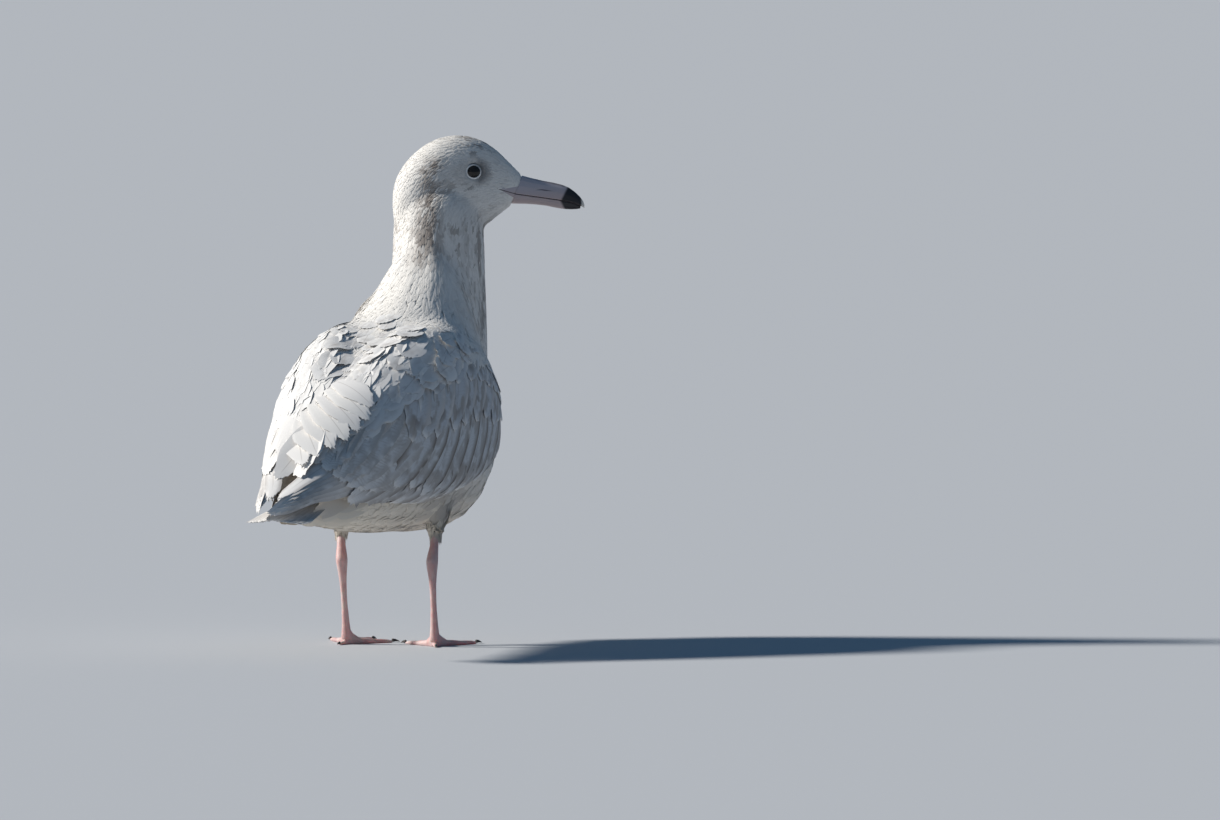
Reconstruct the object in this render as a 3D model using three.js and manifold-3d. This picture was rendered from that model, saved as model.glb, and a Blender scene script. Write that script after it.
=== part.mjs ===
// A life-size model of a standing young glaucous gull, with its head turned to its right.
// Millimetres, +Z up. The gull faces -Y, and its left side is +X. Each part of the body is one closed
// solid, out to the tips of its feathers, and thin cuts part the pieces from each other. The tables give
// places in the trunk's frame, in the head's or in the feet's, as how far left, forward and up they are.
import * as THREE from "three";
import Module from "manifold-3d";
import { mergeVertices } from "three/addons/utils/BufferGeometryUtils.js";

const wasm = await Module();
wasm.setup();

// Driving dimensions
const CUT = 0.35; // the gap left where two pieces meet
const HEAD_TURN = 67; // degrees the head is turned to the gull's right
const NECK_FORWARD = 108; // the neck's axis, ahead of the trunk's zero
const TRUNK_LEAN = { left: 4.8, forward: 9 }; // the trunk's zero, from the middle of the feet
const EYE = { out: 16.6, forward: 30, up: 411.5, radius: 7.4 };
const NOSTRIL = { out: 6.6, forward: 91, up: 396, length: 15, height: 2.6, depth: 3.4 };
const ANKLE_UP = 75;
const KNEE_UP = 110; // where each leg goes up into its thigh
const WEB_THICK = 1.3;

// Cuts: a point on each and the way it faces, as left, forward and up
const HEAD_CUT = { at: [0, NECK_FORWARD, 366], facing: [-0.12, 0.12, 1] };
const NECK_CUT = { at: [0, NECK_FORWARD, 262], facing: [0, 0.75, 1] };
const TAIL_CUT = { at: [0, -182, 0], facing: [0, -1, 0] };
const BILL_CUT = { at: [0, 68.5, 396], facing: [0, 1, -0.375] };
const PRIMARY_CUT = { at: [0, -150, 168], facing: [0, -1, -0.75] };

// Trunk and neck: ribs from the rump to the top of the neck. Each is a plane through a point of the back
// line and a point of the belly line, with its half width, how far up it is widest, and its fullness.
const RIBS = [
  // back forward, up, belly forward, up, half width, widest, fullness
  [-216, 137, -214, 120, 16, 0.5, 2.2],
  [-182, 166, -178, 116, 30, 0.48, 2.2],
  [-140, 203, -132, 109.5, 46, 0.48, 2.2],
  [-95, 238, -86, 103.5, 60, 0.5, 2.2],
  [-50, 264, -42, 100.5, 69, 0.5, 2.25],
  [-10, 282, 8, 99.5, 74, 0.5, 2.3],
  [20, 300, 71, 98.5, 78, 0.44, 2.05],
  [40, 318, 104, 132, 66, 0.4, 2.15],
  [54, 334, 135, 156, 49, 0.57, 2.4],
  [62, 348, 150, 204, 43, 0.5, 2.1],
  [66, 361, 152, 256, 41, 0.5, 2.05],
  [69, 374, 149, 312, 40, 0.5, 2],
  [73, 385, 144, 352, 38.5, 0.5, 2],
  [82, 396, 135, 378, 33.5, 0.5, 2],
  [94, 404, 123, 396, 22, 0.5, 2],
];
const RIB_COUNT = 27;
const ROUND_COUNT = 22;

// Tail: a closed fan, flat below and a little crowned, with a rounded end
const TAIL = [
  // forward, up, half width, half thickness
  [-176, 141, 20, 12],
  [-200, 135, 24, 8],
  [-222, 129.5, 26.5, 5],
  [-240, 125.5, 27.5, 3.2],
  [-250, 123.6, 25, 2.2],
  [-256, 122.6, 18, 1.5],
  [-258, 122.3, 11, 1],
];
const TAIL_COUNT = 10;
const TAIL_ROUND = 14;

// Head: upright sections from its back to the root of the bill
const HEAD = [
  // forward, top, bottom, half width, widest
  [-40, 390, 379, 4, 0.5],
  [-38.5, 400, 366, 13, 0.5],
  [-35, 409, 358, 20, 0.5],
  [-28, 420, 352, 25.5, 0.5],
  [-16, 431.5, 349, 28.5, 0.5],
  [-2, 439.5, 349, 28.8, 0.5],
  [14, 443, 352, 26.2, 0.5],
  [30, 441, 357, 22.8, 0.5],
  [44, 435, 366, 18, 0.48],
  [56, 425.5, 375, 13, 0.46],
  [67, 414.5, 382, 9.8, 0.48],
  [76, 405.5, 385, 7.4, 0.5],
];
const HEAD_COUNT = 14;

// Bill: each half is arched on its outer side and flat along the mouth
const UPPER_BILL = [
  // forward, ridge, mouth, half width
  [60, 410.6, 393.2, 8.2],
  [68, 409, 391.8, 7.8],
  [78, 406.2, 390.4, 6.8],
  [92, 402.9, 388.4, 5.8],
  [105, 400.4, 386.5, 5],
  [114, 397.2, 385, 4.4],
  [121, 392, 383, 3.5],
  [126, 386.5, 380.2, 2.2],
  [128, 382, 378.8, 0.9],
];
const LOWER_BILL = [
  // forward, keel, mouth, half width
  [60, 382.9, 392.6, 7.4],
  [68, 382.6, 391.2, 7],
  [78, 382.4, 389.8, 6],
  [92, 381.2, 387.8, 5],
  [103, 379, 386.1, 4.3],
  [111, 377.8, 384.8, 3.7],
  [119, 377.6, 383, 2.9],
  [124.5, 378.4, 380.6, 1.4],
];
const BILL_COUNT = 12;
const BILL_ARC = 9;

// Folded wing: upright ribs from the bend of the wing to the tip of the primaries. A rib runs from its
// upper edge, out round the side of the body, to its lower edge.
const WING = [
  // forward, upper edge out, up, side out, up, lower edge out, up, thickness
  [112, 42, 217, 50, 204, 46, 192, 5],
  [103, 41, 233, 60, 206, 54, 182, 12],
  [84, 39, 251, 70.5, 204, 65, 172, 16],
  [52, 41, 271, 80.5, 204, 73, 160, 16],
  [14, 38, 284, 85.5, 203, 77, 148, 16],
  [-26, 29, 281, 85, 201, 76, 139, 16],
  [-64, 20, 267, 81, 194, 68, 133, 16],
  [-100, 12, 246, 71.5, 184, 58, 131, 14],
  [-136, 6, 221, 58.5, 170, 46, 130.5, 11],
  [-172, 4, 195, 45.5, 157, 34, 130.5, 8],
  [-206, 9, 168, 33.5, 147, 23.5, 130, 6],
  [-238, 5.5, 148, 21.5, 139, 13.5, 129, 4.5],
  [-262, 3, 138.5, 12, 133.5, 7.5, 128, 3.2],
  [-277, 1.5, 132, 6, 130, 3.5, 127.4, 2],
];
const WING_COUNT = 20;
const WING_ARC = 9;
const WING_FULLNESS = 2.15;

// Leg: the feathered thigh, and the bare leg from the thigh down over the ankle to the foot
const THIGH = [
  // up, radius
  [144, 9],
  [128, 12.5],
  [118, 12],
  [110, 9.8],
  [104, 7.2],
  [99.5, 5.4],
];
const THIGH_COUNT = 7;
const LEG = [
  // up, half depth, half width
  [106, 4.6, 4.2],
  [92, 4.4, 3.8],
  [84, 5.6, 4.5],
  [76, 6.8, 5.4],
  [69, 6.1, 4.8],
  [60, 4.5, 3.6],
  [45, 3.7, 3],
  [28, 3.6, 3],
  [15, 4.4, 3.6],
  [9, 5.2, 4.6],
  [5, 5, 4.8],
];
const LEG_COUNT = 14;
const LEG_ROUND = 10;
const SIDES = [
  // knee, ankle and foot as left and forward of the middle of the feet; turn in degrees to the left
  { name: "left", out: 1, knee: [50.5, 5], ankle: [43.8, -8], foot: [42.5, 1], turn: 3 },
  { name: "right", out: -1, knee: [-41, 8], ankle: [-42.5, -8], foot: [-42, 0], turn: 18 },
];

// Foot: three toes with webs between them and a small hind toe. Spread is in degrees out from straight ahead.
const TOES = [
  { name: "inner", spread: -40, length: 45, root: 3.6, tip: 2.3, claw: 8 },
  { name: "middle", spread: -2, length: 58, root: 3.9, tip: 2.5, claw: 9 },
  { name: "outer", spread: 36, length: 54, root: 3.6, tip: 2.3, claw: 8 },
];
const HIND_TOE = { name: "hind", spread: 172, length: 13, root: 2.6, tip: 2, claw: 5 };
const TOE = [
  // share of the toe's length, width and height against its radius: the joints are a little thicker
  [0, 1.2, 2.3],
  [0.13, 1, 1.6],
  [0.27, 0.92, 0.98],
  [0.44, 1.02, 0.92],
  [0.6, 0.84, 0.8],
  [0.78, 0.9, 0.8],
  [0.92, 0.78, 0.72],
  [1, 0.5, 0.5],
];
const TOE_COUNT = 8;
const TOE_ROUND = 8;

const feathers = new THREE.MeshStandardMaterial({ color: 0xd9d5cd, roughness: 0.9, metalness: 0 });
const flightFeathers = new THREE.MeshStandardMaterial({ color: 0xc3bfb8, roughness: 0.85, metalness: 0 });
const horn = new THREE.MeshStandardMaterial({ color: 0xc9a09a, roughness: 0.45, metalness: 0 });
const legSkin = new THREE.MeshStandardMaterial({ color: 0xd8a0a0, roughness: 0.55, metalness: 0 });
const clawHorn = new THREE.MeshStandardMaterial({ color: 0x2b2422, roughness: 0.4, metalness: 0 });
const eyeball = new THREE.MeshStandardMaterial({ color: 0x14120f, roughness: 0.08, metalness: 0 });

// A place from how far it is to the gull's left, forward and up
const place = (left, forward, up) => new THREE.Vector3(left, -forward, up);

// A signed power, which makes a circle into a fuller oval
const oval = (value, fullness) => Math.sign(value) * Math.abs(value) ** (2 / fullness);

// Points made one by one around a full turn
const around = (count, pointAt) =>
  Array.from({ length: count }, (_, j) => pointAt((2 * Math.PI * j) / count));

// Smooth rows between the rows of a table, each number on a curve of its own
function between(table, count) {
  const width = table[0].length;
  const curves = [];
  for (let k = 0; k < width; k += 3) {
    const points = table.map((row) => new THREE.Vector3(row[k], row[k + 1] ?? 0, row[k + 2] ?? 0));
    curves.push(new THREE.CatmullRomCurve3(points, false, "catmullrom", 0.5));
  }
  return Array.from({ length: count }, (_, i) =>
    curves.flatMap((curve) => curve.getPoint(i / (count - 1)).toArray()).slice(0, width),
  );
}

// One closed solid from rings of points, with a fan at each end
function loft(rings) {
  const count = rings[0].length;
  const points = rings.flat();
  const middle = (ring) =>
    ring.reduce((sum, point) => sum.add(point), new THREE.Vector3()).divideScalar(count);
  points.push(middle(rings[0]), middle(rings.at(-1)));
  const first = points.length - 2;
  const last = points.length - 1;
  const lastRing = (rings.length - 1) * count;
  const faces = [];
  for (let j = 0; j < count; j++) {
    const next = (j + 1) % count;
    for (let row = 0; row < lastRing; row += count) {
      faces.push(row + j, row + next, row + count + next);
      faces.push(row + j, row + count + next, row + count + j);
    }
    faces.push(first, next, j);
    faces.push(last, lastRing + j, lastRing + next);
  }
  return solid(new THREE.BufferGeometry().setFromPoints(points).setIndex(faces));
}

function solid(geometry) {
  const bare = geometry.clone();
  bare.deleteAttribute("normal");
  bare.deleteAttribute("uv");
  const merged = mergeVertices(bare, 1e-4);
  const vertProperties = merged.attributes.position.array;
  const triVerts = new Uint32Array(merged.index.array);
  const body = new wasm.Manifold(new wasm.Mesh({ numProp: 3, vertProperties, triVerts }));
  if (body.volume() > 0) return body;
  triVerts.reverse();
  return new wasm.Manifold(new wasm.Mesh({ numProp: 3, vertProperties, triVerts }));
}

// The two sides of a cut: what lies past it, and what lies before it, each less half the gap
function past({ at, facing }, body) {
  const normal = place(...facing).normalize();
  return body.trimByPlane(normal.toArray(), normal.dot(place(...at)) + CUT / 2);
}
const before = ({ at, facing }, body) => past({ at, facing: facing.map((value) => -value) }, body);
const FLOOR = { at: [0, 0, -CUT / 2], facing: [0, 0, 1] };
const largest = (body) => body.decompose().sort((a, b) => b.volume() - a.volume())[0];

const gull = new THREE.Group();
function add(name, body, material) {
  const { vertProperties, triVerts } = body.getMesh();
  const geometry = new THREE.BufferGeometry();
  geometry.setAttribute("position", new THREE.BufferAttribute(new Float32Array(vertProperties), 3));
  geometry.setIndex(new THREE.BufferAttribute(new Uint32Array(triVerts), 1));
  geometry.computeVertexNormals();
  const mesh = new THREE.Mesh(geometry, material);
  mesh.name = name;
  gull.add(mesh);
}

// The head is set on the neck's axis and turned, and the trunk stands over the feet.
const setHead = (body) => body.rotate([0, 0, -HEAD_TURN]).translate(place(0, NECK_FORWARD, 0).toArray());
const setTrunk = (body) => body.translate(place(TRUNK_LEAN.left, TRUNK_LEAN.forward, 0).toArray());

// Trunk, neck and tail
function ribRing([backForward, backUp, bellyForward, bellyUp, half, widest, fullness], grow) {
  const belly = place(0, bellyForward, bellyUp);
  const upward = place(0, backForward, backUp).sub(belly);
  const height = upward.length();
  upward.normalize();
  const centre = belly.clone().addScaledVector(upward, height * widest);
  return around(ROUND_COUNT, (angle) => {
    const rise = oval(Math.cos(angle), fullness);
    const reach = rise > 0 ? height * (1 - widest) : height * widest;
    const point = centre.clone().addScaledVector(upward, rise * (reach + grow));
    point.x += oval(Math.sin(angle), fullness) * (half + grow);
    return point;
  });
}
const tailRing = ([forward, up, half, thick], grow) =>
  around(TAIL_ROUND, (angle) => {
    const side = oval(Math.cos(angle), 2.6);
    const crown = 3.5 * (1 - side * side);
    return place(side * (half + grow), forward, up + crown + Math.sin(angle) * (thick + grow));
  });
const trunkAndNeck = (grow) => loft(between(RIBS, RIB_COUNT).map((rib) => ribRing(rib, grow)));
const tailFan = (grow) => loft(between(TAIL, TAIL_COUNT).map((row) => tailRing(row, grow)));

// Head and bill, in the head's frame
const headRing = ([forward, top, bottom, half, widest]) => {
  const centre = bottom + (top - bottom) * widest;
  return around(ROUND_COUNT, (angle) => {
    const rise = Math.cos(angle);
    const reach = rise > 0 ? top - centre : centre - bottom;
    return place(Math.sin(angle) * half, forward, centre + rise * reach);
  });
};
const billRing = ([forward, outer, mouth, half]) =>
  Array.from({ length: BILL_ARC }, (_, j) => {
    const angle = (Math.PI * j) / (BILL_ARC - 1);
    const rise = Math.sin(angle) ** 0.85;
    return place(Math.cos(angle) * half, forward, mouth + (outer - mouth) * rise);
  });
const eyeBody = (out, grow) =>
  solid(new THREE.SphereGeometry(EYE.radius + grow, 14, 9)).translate(
    place(out * EYE.out, EYE.forward, EYE.up).toArray(),
  );
const nostril = (out) =>
  solid(new THREE.SphereGeometry(0.5, 12, 6))
    .scale([NOSTRIL.depth, NOSTRIL.length, NOSTRIL.height])
    .rotate([-8, 0, 0])
    .translate(place(out * NOSTRIL.out, NOSTRIL.forward, NOSTRIL.up).toArray());

let upperBill = past(BILL_CUT, loft(between(UPPER_BILL, BILL_COUNT).map(billRing)));
const lowerBill = past(BILL_CUT, loft(between(LOWER_BILL, BILL_COUNT).map(billRing)));
const headAlone = before(BILL_CUT, loft(between(HEAD, HEAD_COUNT).map(headRing)));
const flesh = trunkAndNeck(0).add(setHead(headAlone));
let head = past(HEAD_CUT, flesh);
for (const { name, out } of SIDES) {
  upperBill = upperBill.subtract(nostril(out));
  head = head.subtract(setHead(eyeBody(out, CUT)));
  add(`eye_${name}`, setTrunk(setHead(eyeBody(out, 0))), eyeball);
}
add("head", setTrunk(head), feathers);
add("bill_upper", setTrunk(setHead(upperBill)), horn);
add("bill_lower", setTrunk(setHead(lowerBill)), horn);

const lowerFlesh = before(HEAD_CUT, flesh);
const trunkAndTail = before(NECK_CUT, lowerFlesh).add(tailFan(0));
add("neck", setTrunk(past(NECK_CUT, lowerFlesh)), feathers);
add("trunk", setTrunk(before(TAIL_CUT, trunkAndTail)), feathers);
add("tail", setTrunk(past(TAIL_CUT, trunkAndTail)), flightFeathers);

// Wings: a shell over the trunk. The wing tips meet over the tail.
function wingRing([forward, topOut, topUp, sideOut, sideUp, lowOut, lowUp, thick], out) {
  const heart = new THREE.Vector2((topOut + lowOut) / 2 - thick, sideUp);
  const outer = [];
  const inner = [];
  for (let j = 0; j < WING_ARC; j++) {
    const angle = (Math.PI * j) / (WING_ARC - 1);
    const rise = oval(Math.cos(angle), WING_FULLNESS);
    const [edgeOut, reach] = rise > 0 ? [topOut, topUp - sideUp] : [lowOut, sideUp - lowUp];
    const spread = oval(Math.sin(angle), WING_FULLNESS);
    const point = new THREE.Vector2(edgeOut + (sideOut - edgeOut) * spread, sideUp + reach * rise);
    const inward = heart.clone().sub(point);
    const depth = THREE.MathUtils.lerp(Math.min(thick, 3), thick, Math.sin(angle));
    inward.setLength(Math.min(depth, inward.length() * 0.7));
    outer.push(point);
    inner.unshift(point.clone().add(inward));
  }
  return [...outer, ...inner].map(({ x, y }) => place(out * x, forward, y));
}
const trunkRoom = trunkAndNeck(CUT).add(tailFan(CUT));
const wingRooms = [];
for (const { name, out } of SIDES) {
  const shell = loft(between(WING, WING_COUNT).map((row) => wingRing(row, out))).subtract(trunkRoom);
  const wing = past({ at: [0, 0, 0], facing: [out, 0, 0] }, shell);
  add(`wing_${name}`, setTrunk(largest(before(PRIMARY_CUT, wing))), flightFeathers);
  add(`primaries_${name}`, setTrunk(largest(past(PRIMARY_CUT, wing))), flightFeathers);
  wingRooms.push(wing);
}
const bodyRoom = setTrunk(wasm.Manifold.union([trunkRoom, ...wingRooms]));

// Thighs and legs, in the feet's frame
function legMiddle(side, up) {
  const [low, high] = up < ANKLE_UP ? [side.foot, side.ankle] : [side.ankle, side.knee];
  const [base, top] = up < ANKLE_UP ? [0, ANKLE_UP] : [ANKLE_UP, KNEE_UP];
  const share = Math.min((up - base) / (top - base), 1);
  return place(
    THREE.MathUtils.lerp(low[0], high[0], share),
    THREE.MathUtils.lerp(low[1], high[1], share),
    up,
  );
}
const legRing = (side, [up, depth, width], grow) =>
  around(LEG_ROUND, (angle) =>
    place((width + grow) * Math.cos(angle), (depth + grow) * Math.sin(angle), 0).add(legMiddle(side, up)),
  );
const legBody = (side, grow) =>
  loft(between(LEG, LEG_COUNT).map((row) => legRing(side, row, grow)));
const thighRing = (side, [up, radius]) =>
  around(TAIL_ROUND, (angle) =>
    place(radius * Math.cos(angle), 1.15 * radius * Math.sin(angle), 0).add(legMiddle(side, up)),
  );

// Feet, in each foot's own frame. A ring across a toe has its centre on the toe's line.
const toeWay = (toe, out) => {
  const angle = THREE.MathUtils.degToRad(toe.spread * out);
  return place(Math.sin(angle), Math.cos(angle), 0);
};
const toeRing = (way, along, up, halfWidth, halfHeight) =>
  around(TOE_ROUND, (angle) => {
    const across = new THREE.Vector3(-way.y, way.x, 0).multiplyScalar(halfWidth * Math.cos(angle));
    across.z = up + halfHeight * Math.sin(angle);
    return across.addScaledVector(way, along);
  });
function toeBody(toe, out) {
  const way = toeWay(toe, out);
  const rings = between(TOE, TOE_COUNT).map(([share, wide, high]) => {
    const radius = THREE.MathUtils.lerp(toe.root, toe.tip, share);
    return toeRing(way, toe.length * share, radius * high * 0.75, radius * wide, radius * high);
  });
  return past(FLOOR, loft(rings));
}
function clawBody(toe, out) {
  const way = toeWay(toe, out);
  const rings = [0, 0.45, 1].map((share) => {
    const radius = toe.tip * 0.62 * (1 - share) ** 0.8 + 0.3;
    const up = toe.tip * (0.78 + 0.35 * share - 0.9 * share * share) + 0.3;
    return toeRing(way, toe.length + CUT + toe.claw * share, up, radius * 0.8, radius);
  });
  return past(FLOOR, loft(rings));
}
// A web is a thin plate between two toes, hollowed along its front edge.
function webBody(one, other, out) {
  const a = toeWay(one, out).multiplyScalar(one.length * 0.95);
  const b = toeWay(other, out).multiplyScalar(other.length * 0.95);
  const hollow = a.clone().add(b).multiplyScalar(0.43);
  const outline = new THREE.Shape();
  outline.moveTo(0, 0);
  outline.lineTo(a.x, a.y);
  outline.quadraticCurveTo(hollow.x, hollow.y, b.x, b.y);
  outline.closePath();
  const plate = { depth: WEB_THICK, bevelEnabled: false, curveSegments: 4 };
  return solid(new THREE.ExtrudeGeometry(outline, plate)).translate([0, 0, 0.2]);
}

for (const side of SIDES) {
  const { name, out } = side;
  const setFoot = (body) => body.rotate([0, 0, side.turn]).translate(place(...side.foot, 0).toArray());
  const thigh = loft(between(THIGH, THIGH_COUNT).map((row) => thighRing(side, row)));
  add(`thigh_${name}`, thigh.subtract(bodyRoom), feathers);
  add(`leg_${name}`, legBody(side, 0).subtract(bodyRoom).subtract(thigh), legSkin);

  const [inner, middle, outer] = TOES;
  const foot = wasm.Manifold.union([
    ...[...TOES, HIND_TOE].map((toe) => toeBody(toe, out)),
    webBody(inner, middle, out),
    webBody(middle, outer, out),
  ]);
  add(`foot_${name}`, setFoot(foot).subtract(legBody(side, CUT)), legSkin);
  for (const toe of [...TOES, HIND_TOE])
    add(`claw_${name}_${toe.name}`, setFoot(clawBody(toe, out)), clawHorn);
}

// The origin is under the middle of the gull's box, at the level of its soles.
const box = new THREE.Box3().setFromObject(gull);
const middle = box.getCenter(new THREE.Vector3());
for (const mesh of gull.children) mesh.geometry.translate(-middle.x, -middle.y, -box.min.z);

export default gull;
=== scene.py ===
import math

import bmesh
import bpy
import numpy as np
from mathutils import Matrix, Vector
from mathutils.bvhtree import BVHTree


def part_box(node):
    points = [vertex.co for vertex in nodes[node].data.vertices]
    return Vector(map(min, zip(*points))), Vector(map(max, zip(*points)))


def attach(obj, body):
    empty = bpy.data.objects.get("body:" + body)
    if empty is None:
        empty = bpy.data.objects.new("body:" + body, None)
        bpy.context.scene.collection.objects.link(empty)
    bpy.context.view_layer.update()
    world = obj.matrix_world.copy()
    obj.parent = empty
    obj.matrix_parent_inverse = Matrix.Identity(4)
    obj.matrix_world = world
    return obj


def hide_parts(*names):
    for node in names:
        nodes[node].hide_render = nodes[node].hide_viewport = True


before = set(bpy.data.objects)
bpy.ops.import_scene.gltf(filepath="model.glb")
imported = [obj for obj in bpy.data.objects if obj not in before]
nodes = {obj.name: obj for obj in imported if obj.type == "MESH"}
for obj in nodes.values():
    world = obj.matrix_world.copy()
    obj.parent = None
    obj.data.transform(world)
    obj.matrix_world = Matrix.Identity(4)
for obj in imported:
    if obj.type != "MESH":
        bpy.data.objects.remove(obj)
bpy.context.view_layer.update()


# ---------------------------------------------------------------- The gull's own frames
# Places on the body are given from the trunk's zero, as how far left, forward and up they are. Places
# on the head are given from the neck's axis, as how far left, forward along the bill and up.
trunk_low, trunk_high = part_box("trunk")
wing_low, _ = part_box("wing_left")
eye_left_low, eye_left_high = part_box("eye_left")
eye_right_low, eye_right_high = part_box("eye_right")

WING_REACH = 0.112  # from the trunk's zero forward to the bend of the wing
EYE_FORWARD = 0.030  # from the neck's axis forward to the eyes
middle_x = (trunk_low.x + trunk_high.x) / 2
zero_y = wing_low.y + WING_REACH

eye_left = (eye_left_low + eye_left_high) / 2
eye_right = (eye_right_low + eye_right_high) / 2
head_left = (eye_left - eye_right).normalized()
head_forward = Vector((head_left.y, -head_left.x, 0))
neck_axis = (eye_left + eye_right) / 2 - head_forward * EYE_FORWARD
neck_axis.z = 0


def on_body(left, forward, up):
    """A place from the trunk's zero."""
    return Vector((middle_x + left, zero_y - forward, up))


def on_head(left, forward, up):
    """A place from the neck's axis, turned with the head."""
    return neck_axis + head_left * left + head_forward * forward + Vector((0, 0, up))


# ---------------------------------------------------------------- Camera
# It looks at the gull from behind its right side, a little from above, with the gull left of the middle.
# It stands far off with a long lens, so near and far parts of the gull keep their true sizes.
CAMERA_TURN = math.radians(203)
CAMERA_RISE = math.radians(3)
CAMERA_AWAY = 20.0
VIEW_WIDTH = 1.0690  # how wide the view is where the gull stands
AIM_RIGHT = 0.1918
AIM_UP = 0.2063

towards_camera = Vector((
    math.sin(CAMERA_TURN) * math.cos(CAMERA_RISE),
    -math.cos(CAMERA_TURN) * math.cos(CAMERA_RISE),
    math.sin(CAMERA_RISE),
))
view_right = Vector((0, 0, 1)).cross(towards_camera).normalized()
view_up = towards_camera.cross(view_right)
feet_middle = on_body(-0.0048, -0.009, 0)
aim = feet_middle + view_right * AIM_RIGHT + view_up * AIM_UP

camera_data = bpy.data.cameras.new("camera")
camera_data.sensor_width = 36
camera_data.lens = camera_data.sensor_width * CAMERA_AWAY / VIEW_WIDTH
camera_data.clip_end = 100
camera = bpy.data.objects.new("camera", camera_data)
camera.location = aim + towards_camera * CAMERA_AWAY
camera.rotation_euler = towards_camera.to_track_quat("Z", "Y").to_euler()
bpy.context.scene.collection.objects.link(camera)
bpy.context.scene.camera = camera


# ---------------------------------------------------------------- Light
# A low warm key, like a late sun, from the left of the view and a little behind the gull. The room round
# it is cool and dim, and fills the shaded side.
KEY_TURN = math.radians(95)  # from the camera round to the left
KEY_RISE = math.radians(32)
KEY_STRENGTH = 5.3
KEY_SOFTNESS = math.radians(7)
KEY_COLOUR = (1, 0.955, 0.89)
ROOM_COLOUR = (0.28, 0.58, 1, 1)
ROOM_STRENGTH = 0.18

level = Vector((towards_camera.x, towards_camera.y, 0)).normalized()
towards_key = level * math.cos(KEY_TURN) - view_right * math.sin(KEY_TURN)
towards_key = towards_key * math.cos(KEY_RISE) + Vector((0, 0, math.sin(KEY_RISE)))
key = bpy.data.lights.new("key", "SUN")
key.energy = KEY_STRENGTH
key.angle = KEY_SOFTNESS
key.color = KEY_COLOUR
key_holder = bpy.data.objects.new("key", key)
key_holder.rotation_euler = towards_key.to_track_quat("Z", "Y").to_euler()
bpy.context.scene.collection.objects.link(key_holder)

room = bpy.data.worlds.new("room")
room.use_nodes = True
room.node_tree.nodes["Background"].inputs["Color"].default_value = ROOM_COLOUR
room.node_tree.nodes["Background"].inputs["Strength"].default_value = ROOM_STRENGTH
bpy.context.scene.world = room
bpy.context.scene.view_settings.view_transform = "Standard"


# ---------------------------------------------------------------- Floor
# A plain pale studio floor, which isn't part of the gull. It is so wide that its edge is never seen, and
# its paint has a very fine grain.
FLOOR_WIDTH = 60.0
FLOOR_COLOUR = (0.48, 0.50, 0.53)
FLOOR_ROUGHNESS = 0.8


class Wire:
    """An output socket of a material. Sums on it add Math nodes, and node() adds any other node."""

    def __init__(self, tree, socket=None):
        self.tree = tree
        self.socket = socket

    def node(self, kind, settings, inputs, output=0):
        """Any node: its type, its settings, and the values or wires of its sockets."""
        made = self.tree.nodes.new(kind)
        for key, value in settings.items():
            setattr(made, key, value)
        for key, value in inputs.items():
            if isinstance(value, Wire):
                self.tree.links.new(value.socket, made.inputs[key])
            else:
                made.inputs[key].default_value = value
        return Wire(self.tree, made.outputs[output])

    def math(self, operation, *values):
        return self.node("ShaderNodeMath", {"operation": operation}, dict(enumerate(values)))

    def __add__(self, other):
        return self.math("ADD", self, other)

    def __sub__(self, other):
        return self.math("SUBTRACT", self, other)

    def __mul__(self, other):
        return self.math("MULTIPLY", self, other)

    def __radd__(self, other):
        return self.math("ADD", other, self)

    def __rsub__(self, other):
        return self.math("SUBTRACT", other, self)

    def __rmul__(self, other):
        return self.math("MULTIPLY", other, self)

    def __abs__(self):
        return self.math("ABSOLUTE", self)

    def ramp(self, low, high):
        """Eases from 0 where this is at low to 1 where it is at high."""
        return self.node(
            "ShaderNodeMapRange",
            {"interpolation_type": "SMOOTHSTEP"},
            {"Value": self, "From Min": low, "From Max": high},
        )

    def hill(self, centre, reach):
        """1 where this is at the centre, easing to 0 at the reach on each side."""
        return 1 - abs(self - centre).ramp(0.0, reach)

    def paint(self, under, over):
        """Mixes two colours by this."""
        return self.node("ShaderNodeMix", {"data_type": "RGBA"}, {0: self, 6: under, 7: over}, 2)

    def speckle(self, size, stretch=(1, 1, 1)):
        """Noise with spots of about this size at this place, stretched along the axes."""
        scaled = self.node(
            "ShaderNodeVectorMath", {"operation": "MULTIPLY"}, {0: self, 1: tuple(1 / s for s in stretch)}
        )
        return self.node("ShaderNodeTexNoise", {}, {"Vector": scaled, "Scale": 0.5 / size, "Detail": 2.0})

    def along(self, direction, start):
        """How far this place is along a direction from a start."""
        length = self.node("ShaderNodeVectorMath", {"operation": "DOT_PRODUCT"}, {0: self, 1: direction}, 1)
        return length - Vector(direction).dot(start)


def colour(red, green, blue):
    """A colour for a node's socket."""
    return (red, green, blue, 1)


def new_material(name, **finish):
    """A material with a Principled shader that has these constants. Returns it and its tree's wire."""
    material = bpy.data.materials.new(name)
    material.use_nodes = True
    shader = material.node_tree.nodes["Principled BSDF"]
    for socket, value in finish.items():
        shader.inputs[socket.replace("_", " ")].default_value = value
    return material, Wire(material.node_tree)


def wear(material, base=None, bump=None, strength=0.3, distance=0.001):
    """Links what changes over the surface to the material's shader."""
    tree = material.node_tree
    shader = tree.nodes["Principled BSDF"]
    if base:
        tree.links.new(base.socket, shader.inputs["Base Color"])
    if bump:
        relief = bump.node("ShaderNodeBump", {}, {"Strength": strength, "Distance": distance, "Height": bump})
        tree.links.new(relief.socket, shader.inputs["Normal"])


def object_place(wire):
    """The place on the piece, in metres."""
    return wire.node("ShaderNodeTexCoord", {}, {}, "Object")


def mesh_object(name, form):
    """Turns a bmesh into an object at the origin."""
    mesh = bpy.data.meshes.new(name)
    form.to_mesh(mesh)
    form.free()
    piece = bpy.data.objects.new(name, mesh)
    bpy.context.scene.collection.objects.link(piece)
    return piece


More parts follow.
